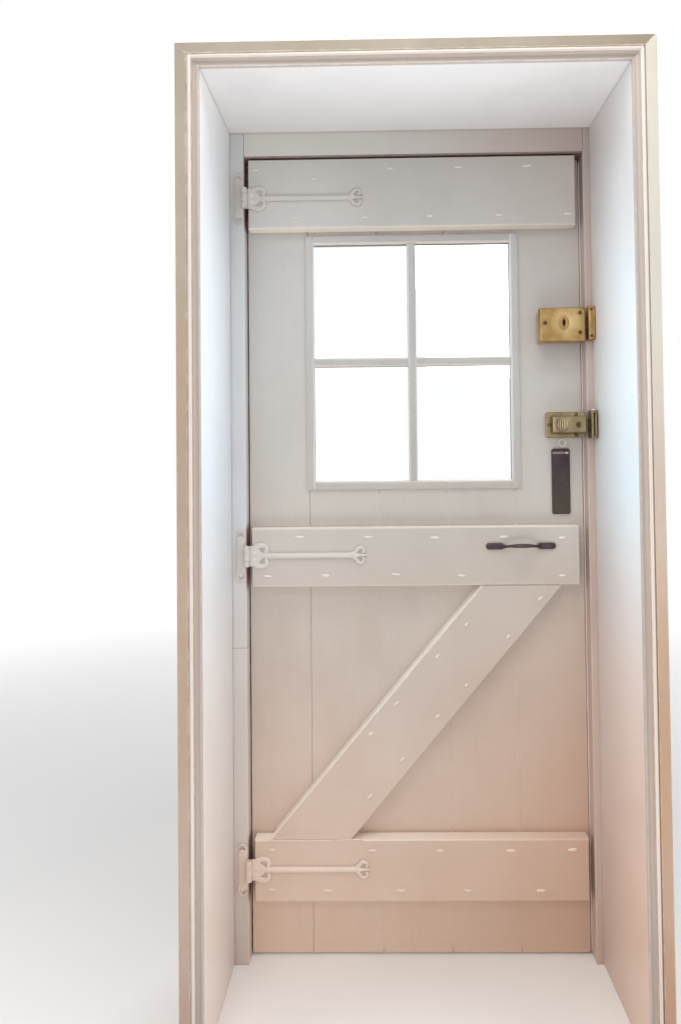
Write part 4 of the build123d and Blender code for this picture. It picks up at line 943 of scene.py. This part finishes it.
for index, (low, high) in enumerate(nails):
    on_brace = brace_low < middles[index].z < brace_high
    middle = strayed.get(index, middles[index])
    length = chance.uniform(0.0085, 0.0115)
    thick = chance.uniform(0.0030, 0.0038)
    tall = chance.uniform(0.0022, 0.0030)
    tilt = chance.uniform(-0.09, 0.09)
    if on_brace:
        length *= 0.6
        tall *= 1.3
        tilt = chance.uniform(0.6, 1.0)
    swell = chance.uniform(-0.25, 0.25)
    points = []
    for step in range(9):
        share = -1 + 2 * step / 8
        body = max(1 - abs(share) ** 2.4, 0.02)
        points.append((
            middle.x + share * length,
            middle.z + share * length * tilt,
            thick * body ** 0.6 * (1 + swell * share),
            tall * body ** 0.7 * (1 + swell * share),
        ))
    add_stroke(bm, points, high[1] + 0.0001, 1.0, 10, 2)
add_piece("nail_ends", bm, nail_highlight_paint, "leaf", "painted_iron", "clench_nails")

# Paint that fills the joints between the boards
board_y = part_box("board_2")[0][1]
low_rail_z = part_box("sash_rail_bottom")[0][2] - 0.0006
joints = [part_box(f"board_{index}")[0][0] for index in range(3, 6)]


def lay_paint(bm, start, end, across, rise, half, lift, wander, count=80, root=0.0015):
    """A run of thick paint from start to end, its crown lifted along rise and wandering a bit."""
    start, end, across, rise = (Vector(value) for value in (start, end, across, rise))
    rings = []
    for step in range(count + 1):
        middle = start.lerp(end, step / count)
        crown = lift + chance.uniform(-wander, wander)
        shoulder = 0.6 * crown + chance.uniform(-wander, wander) * 0.4
        rings.append([bm.verts.new(point) for point in (
            middle - across * half - rise * 0.00003,
            middle - across * half * 0.5 + rise * shoulder,
            middle + rise * crown,
            middle + across * half * 0.5 + rise * shoulder,
            middle + across * half - rise * 0.00003,
            middle - rise * root,
        )])
    skin(bm, rings)


bm = bmesh.new()
for joint_x in joints:
    lay_paint(
        bm, (joint_x - 0.0002, board_y, 0.0078), (joint_x - 0.0002, board_y, low_rail_z),
        (1, 0, 0), (0, -1, 0), 0.0035, 0.00008, 0.00002,
    )
first_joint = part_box("board_2")[0][0] - 0.0002
lay_paint(
    bm, (first_joint, board_y, 0.0078), (first_joint, board_y, low_rail_z),
    (1, 0, 0), (0, -1, 0), 0.0012, -0.0009, 0.00003,
)
add_piece("joint_paint", bm, paint_joints, "leaf", "leaf_paint")

# A bead of paint where the brace stands on the bottom ledge
bm = bmesh.new()
ledge_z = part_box("ledge_bottom")[1][2]
bead = ((-0.352, 0.0), (-0.26, -0.0012), (-0.2, -0.0006), (-0.128, 0.0014))
for (x0, z0), (x1, z1) in zip(bead, bead[1:]):
    lay_paint(
        bm, (x0, face_y, ledge_z + z0), (x1, face_y, ledge_z + z1),
        (0, 0, 1), (0, -1, 0), 0.0016, 0.0012, 0.0001, 12,
    )
brace_points = [vertex.co for vertex in nodes["brace"].data.vertices]
foot_x = min(point.x for point in brace_points if point.z < brace_low + 0.001)
head_x = min(point.x for point in brace_points if point.z > brace_high - 0.001)
slope = Vector((head_x - foot_x, 0, brace_high - brace_low)).normalized()
beside_brace = Vector((-slope.z, 0, slope.x))
lay_paint(
    bm, Vector((foot_x, board_y, brace_low)) + beside_brace * 0.0012 + slope * 0.004,
    Vector((head_x, board_y, brace_high)) + beside_brace * 0.0012 - slope * 0.004,
    beside_brace, (0, -1, 0), 0.003, 0.0016, 0.0001, 60,
)
add_piece("brace_bead", bm, nail_highlight_paint, "leaf", "leaf_paint")

# Thick paint in the gaps beside the leaf, and in the quirk of the moulding
leaf_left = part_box("board_1")[0][0]
leaf_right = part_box("board_5")[1][0]
rebate_left = leaf_left - 0.003
rebate_right = leaf_right + 0.004
inside = 0.0001
# The lock side's gap paint is pale, painted light that keeps that gap from reading dark; the hinge
# side's takes the lock post's colour, painted shade in that gap.
for name, edge_x, outwards, lift, finish, body, slot_name in (
    ("lock_edge_paint", leaf_right - inside, 1, 0.0012, gap_painted_light, "leaf", "leaf_paint"),
    ("hinge_edge_paint", leaf_left + inside, -1, 0.0009, paint_lock_post_shaded, "leaf", "leaf_paint"),
    ("lock_rebate_paint", rebate_right + inside, -1, 0.0019, gap_painted_light, "frame", "frame_paint"),
    ("hinge_rebate_paint", rebate_left - inside, 1, 0.0009, paint_lock_post_shaded, "frame",
     "frame_paint"),
):
    bm = bmesh.new()
    lay_paint(
        bm, (edge_x, board_y + 0.005, 0.008), (edge_x, board_y + 0.005, 1.9185),
        (0, 1, 0), (outwards, 0, 0), 0.005, lift, 0.00008, 160,
    )
    add_piece(name, bm, finish, body, slot_name)
bm = bmesh.new()
quirk = 0.0225
quirk_x, quirk_z = HALF_OPENING + quirk, OPENING_TOP + quirk
quirk_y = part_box("architrave_left")[0][1] + 0.0022
for start, end, across, count in (
    ((-quirk_x, quirk_y, 0.0005), (-quirk_x, quirk_y, quirk_z), (1, 0, 0), 120),
    ((-quirk_x - 0.0003, quirk_y, quirk_z), (quirk_x + 0.0003, quirk_y, quirk_z), (0, 0, 1), 80),
):
    lay_paint(bm, start, end, across, (0, -1, 0), 0.00105, 0.001, 0.00012, count)
add_piece("quirk_paint", bm, paint_architrave_left, "frame", "frame_paint")


def rounded_block(name, low, high, radius, material, body, slot_name, *replaced):
    """A block between two corners with rounded edges."""
    bm = bmesh.new()
    bmesh.ops.create_cube(bm, size=1.0)
    for vertex in bm.verts:
        vertex.co = Vector(low[axis] if vertex.co[axis] < 0 else high[axis] for axis in range(3))
    bmesh.ops.bevel(bm, geom=bm.edges[:], offset=radius, segments=3, profile=0.5, affect="EDGES")
    return add_piece(name, bm, material, body, slot_name, *replaced)


def add_tube(bm, points, sides=16, steps=6):
    """A closed tube through points of (x, y, z, radius), lying mostly along X."""
    line = through(points, steps)
    rings = []
    for index, (x, y, z, radius) in enumerate(line):
        before = Vector(line[max(index - 1, 0)][:3])
        after = Vector(line[min(index + 1, len(line) - 1)][:3])
        along = (after - before).normalized()
        across = along.cross(Vector((0, 0, 1))).normalized()
        upwards = across.cross(along)
        rings.append([
            bm.verts.new(Vector((x, y, z)) + radius * (
                cos(2 * pi * side / sides) * across + sin(2 * pi * side / sides) * upwards
            ))
            for side in range(sides)
        ])
    skin(bm, rings)


# Pull handle: two feet with round ends and a grip that swells in the middle
low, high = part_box("pull_handle")
handle_x, handle_z = (low[0] + high[0]) / 2, (low[2] + high[2]) / 2
handle_reach = (high[0] - low[0]) / 2
bm = bmesh.new()
for side in (1, -1):
    foot = [
        (handle_x + side * (handle_reach - across), handle_z, half, tall)
        for across, half, tall in mm(
            (0.3, 1.5, 3), (1.2, 4.2, 4), (3.2, 6.3, 4.8), (7, 7.6, 5.2), (16, 7.7, 5.6),
            (28, 7.6, 6), (38, 7.3, 6), (40.5, 6.6, 5),
        )
    ]
    add_stroke(bm, foot, face_y - 0.0002, 0.55, 16)
add_tube(bm, [
    (handle_x + x, face_y - out, handle_z + rise, radius) for x, out, rise, radius in mm(
        (-46, 4, 0, 4.2), (-41, 7, 0.2, 4.6), (-36, 13, 0.8, 3.4), (-29, 18, 1.6, 3.3),
        (-16, 22.5, 2.8, 4.5), (0, 24, 3.2, 5.2), (16, 22.5, 2.8, 4.5), (29, 18, 1.6, 3.3),
        (36, 13, 0.8, 3.4), (41, 7, 0.2, 4.6), (46, 4, 0, 4.2),
    )
])
handle = add_piece("pull_handle_piece", bm, black, "leaf", "black_iron", "pull_handle")
fuse(handle, 0.0006, 4)

# Packing blocks, set in under their locks
# The rim lock's block is brown: painted shade and reflected brass on its side.
block_shade_and_brass_glow = painted_wood(
    "block_shade_and_brass_glow", tints((0.0, 190, 148, 122), (1.0, 190, 150, 126)), "X", 0.5, 0.5,
    1.0, None, 0.1, 0.0
)
for block, lock, inset_x, inset_z, finish in (
    ("rim_lock_block", "rim_lock_case", 0.003, 0.003, block_shade_and_brass_glow),
    ("night_latch_block", "night_latch_backplate", 0.007, 0.004, paint_ledges),
):
    low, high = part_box(lock)
    rounded_block(
        block + "_piece",
        (low[0] + inset_x, face_y + 0.0001, low[2] + inset_z),
        (high[0] - 0.004, board_y - 0.0001, high[2] - inset_z),
        0.0015, finish, "leaf", "leaf_paint", block,
    )


def add_slotted_head(bm, x, y, z, radius, height, turn):
    """A domed screw head on the face at depth y, with a slot across it at an angle."""
    slot = radius * 0.16
    columns = [-radius * value for value in (0.995, 0.93, 0.8, 0.62, 0.42, 0.25)]
    columns += [-slot, -slot, slot, slot]
    columns += [radius * value for value in (0.25, 0.42, 0.62, 0.8, 0.93, 0.995)]
    sunk = [False] * 7 + [True, True] + [False] * 7
    rows = 10
    grid = []
    for u, low in zip(columns, sunk):
        reach = sqrt(max(radius * radius - u * u, 0))
        line = []
        for row in range(rows + 1):
            v = -reach + 2 * reach * row / rows
            dome = height * (0.45 + 0.55 * sqrt(max(1 - (u * u + v * v) / (radius * radius), 0)))
            rise = height * 0.35 if low else dome
            along = u * cos(turn) - v * sin(turn)
            up = u * sin(turn) + v * cos(turn)
            line.append(bm.verts.new((x + along, y - rise, z + up)))
        grid.append(line)
    for first, second in zip(grid, grid[1:]):
        for row in range(rows):
            bm.faces.new((first[row], second[row], second[row + 1], first[row + 1]))
    rim = [line[0] for line in grid] + grid[-1][1:]
    rim += [line[-1] for line in reversed(grid[:-1])] + grid[0][-2:0:-1]
    base = [bm.verts.new((vertex.co.x, y, vertex.co.z)) for vertex in rim]
    for index in range(len(rim)):
        after = (index + 1) % len(rim)
        bm.faces.new((rim[index], rim[after], base[after], base[index]))
    bm.faces.new(base)


def slotted_screws(name, node, radius, height, material, body, slot_name, shift_x=0.0):
    """Slotted heads where a node's screws have theirs."""
    bm = bmesh.new()
    for low, high in islands(node):
        add_slotted_head(
            bm, (low[0] + high[0]) / 2 + shift_x, low[1] + height * 0.8, (low[2] + high[2]) / 2,
            radius, height, chance.uniform(0, pi),
        )
    add_piece(name, bm, material, body, slot_name, node, smooth=False)


slotted_screws(
    "rim_screw_heads", "rim_lock_screws", 0.0042, 0.0018, screw_bronze, "leaf", "lock_steel"
)
slotted_screws(
    "latch_screw_heads", "night_latch_screws", 0.0038, 0.002, screw_olive, "leaf", "aged_brass"
)
slotted_screws(
    "keep_screw_heads", "keep_screws", 0.0032, 0.0016, screw_bronze, "frame", "lock_steel", -0.0015
)

# Night latch keep, narrower than its box in the source
bm = cad_share("night_latch_keep", [])
keep_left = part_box("night_latch_keep")[0][0]
for vertex in bm.verts:
    vertex.co.x = keep_left + (vertex.co.x - keep_left) * 0.8
latch_keep = add_piece(
    "latch_keep", bm, aged, "frame", "aged_brass", "night_latch_keep", smooth=False
)
round_edges(latch_keep, 0.0008, 2, pi / 6, False)

low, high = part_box("night_latch_keep")
bm = bmesh.new()
bmesh.ops.create_uvsphere(bm, u_segments=20, v_segments=12, radius=0.0042)
for vertex in bm.verts:
    vertex.co = Vector((
        keep_left + 0.0075 + vertex.co.x * 1.5,
        low[1] + 0.008 + vertex.co.y * 1.3,
        high[2] + 0.0002 + max(vertex.co.z, -0.0002) * 0.7,
    ))
add_piece("keep_rivet", bm, pale_wire, "frame", "lock_steel")

# Ribs across the turn knob of the night latch
low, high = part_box("night_latch_knob")
knob_x, knob_z = (low[0] + high[0]) / 2, (low[2] + high[2]) / 2
knob_reach_x, knob_reach_z = (high[0] - low[0]) / 2, (high[2] - low[2]) / 2
bm = bmesh.new()
for share in (-0.66, -0.33, 0.0, 0.33, 0.66):
    rib_x = knob_x + share * knob_reach_x
    rib_z = knob_reach_z * 0.84 * sqrt(1 - share * share)
    add_stroke(bm, [
        (rib_x, knob_z - rib_z, 0.0003, 0.0003), (rib_x, knob_z - rib_z * 0.8, 0.0008, 0.0009),
        (rib_x, knob_z + rib_z * 0.8, 0.0008, 0.0009), (rib_x, knob_z + rib_z, 0.0003, 0.0003),
    ], low[1] + 0.0002, 1.0, 8, 3)
add_piece("knob_ribs", bm, steel_gold, "latch_knob", "aged_brass")

# Slim dark plate: a pale worn band across its head and a small bright rivet
low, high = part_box("dark_plate")
rounded_block(
    "plate_band",
    (low[0] + 0.002, low[1] - 0.0009, high[2] - 0.0125),
    (high[0] - 0.002, low[1] + 0.0002, high[2] - 0.0075),
    0.0004, band_metal, "leaf", "dark_plate",
)
# A pale strip standing out right of and below the plate: a painted highlight along its right and
# lower rims.
rounded_block(
    "plate_rim_highlight",
    (low[0] + 0.006, high[1] - 0.0022, low[2] - 0.0016),
    (high[0] + 0.0016, high[1] - 0.0001, high[2] - 0.012),
    0.0008, pale_wire, "leaf", "lock_steel",
)
bm = bmesh.new()
add_slotted_head(bm, high[0] - 0.008, low[1] - 0.0008, high[2] - 0.010, 0.0026, 0.0014, 0.4)
add_piece("plate_rivet", bm, pale_wire, "leaf", "lock_steel")

# Floor and what lies behind, which aren't part of the object
floor_mesh = bpy.data.meshes.new("floor")
floor_reach = 14
floor_mesh.from_pydata(
    [(-floor_reach, -floor_reach, 0), (floor_reach, -floor_reach, 0),
     (floor_reach, floor_reach, 0), (-floor_reach, floor_reach, 0)],
    [], [(0, 1, 2, 3)],
)
floor = bpy.data.objects.new("floor", floor_mesh)
scene.collection.objects.link(floor)
floor_shading = Shading("pale_floor")
floor_shading.set(Base_Color=(0.88, 0.86, 0.84, 1), Roughness=0.7, Specular_IOR_Level=0.2)
floor_tree = floor_shading.tree
away = add_node(floor_tree, "VectorMath")
away.operation = "LENGTH"
floor_tree.links.new(floor_shading.place, away.inputs[0])
faded = floor_shading.product(
    floor_shading.spread(away.outputs["Value"], 1.2, 4.0),
    add_node(floor_tree, "LightPath").outputs["Is Camera Ray"],
)
backdrop = add_node(floor_tree, "Emission", Color=WHITE, Strength=1)
blend_shaders(
    floor_tree, faded, floor_shading.shader.outputs[0], backdrop.outputs[0],
    floor_shading.output,
)
floor_mesh.materials.append(floor_shading.material)
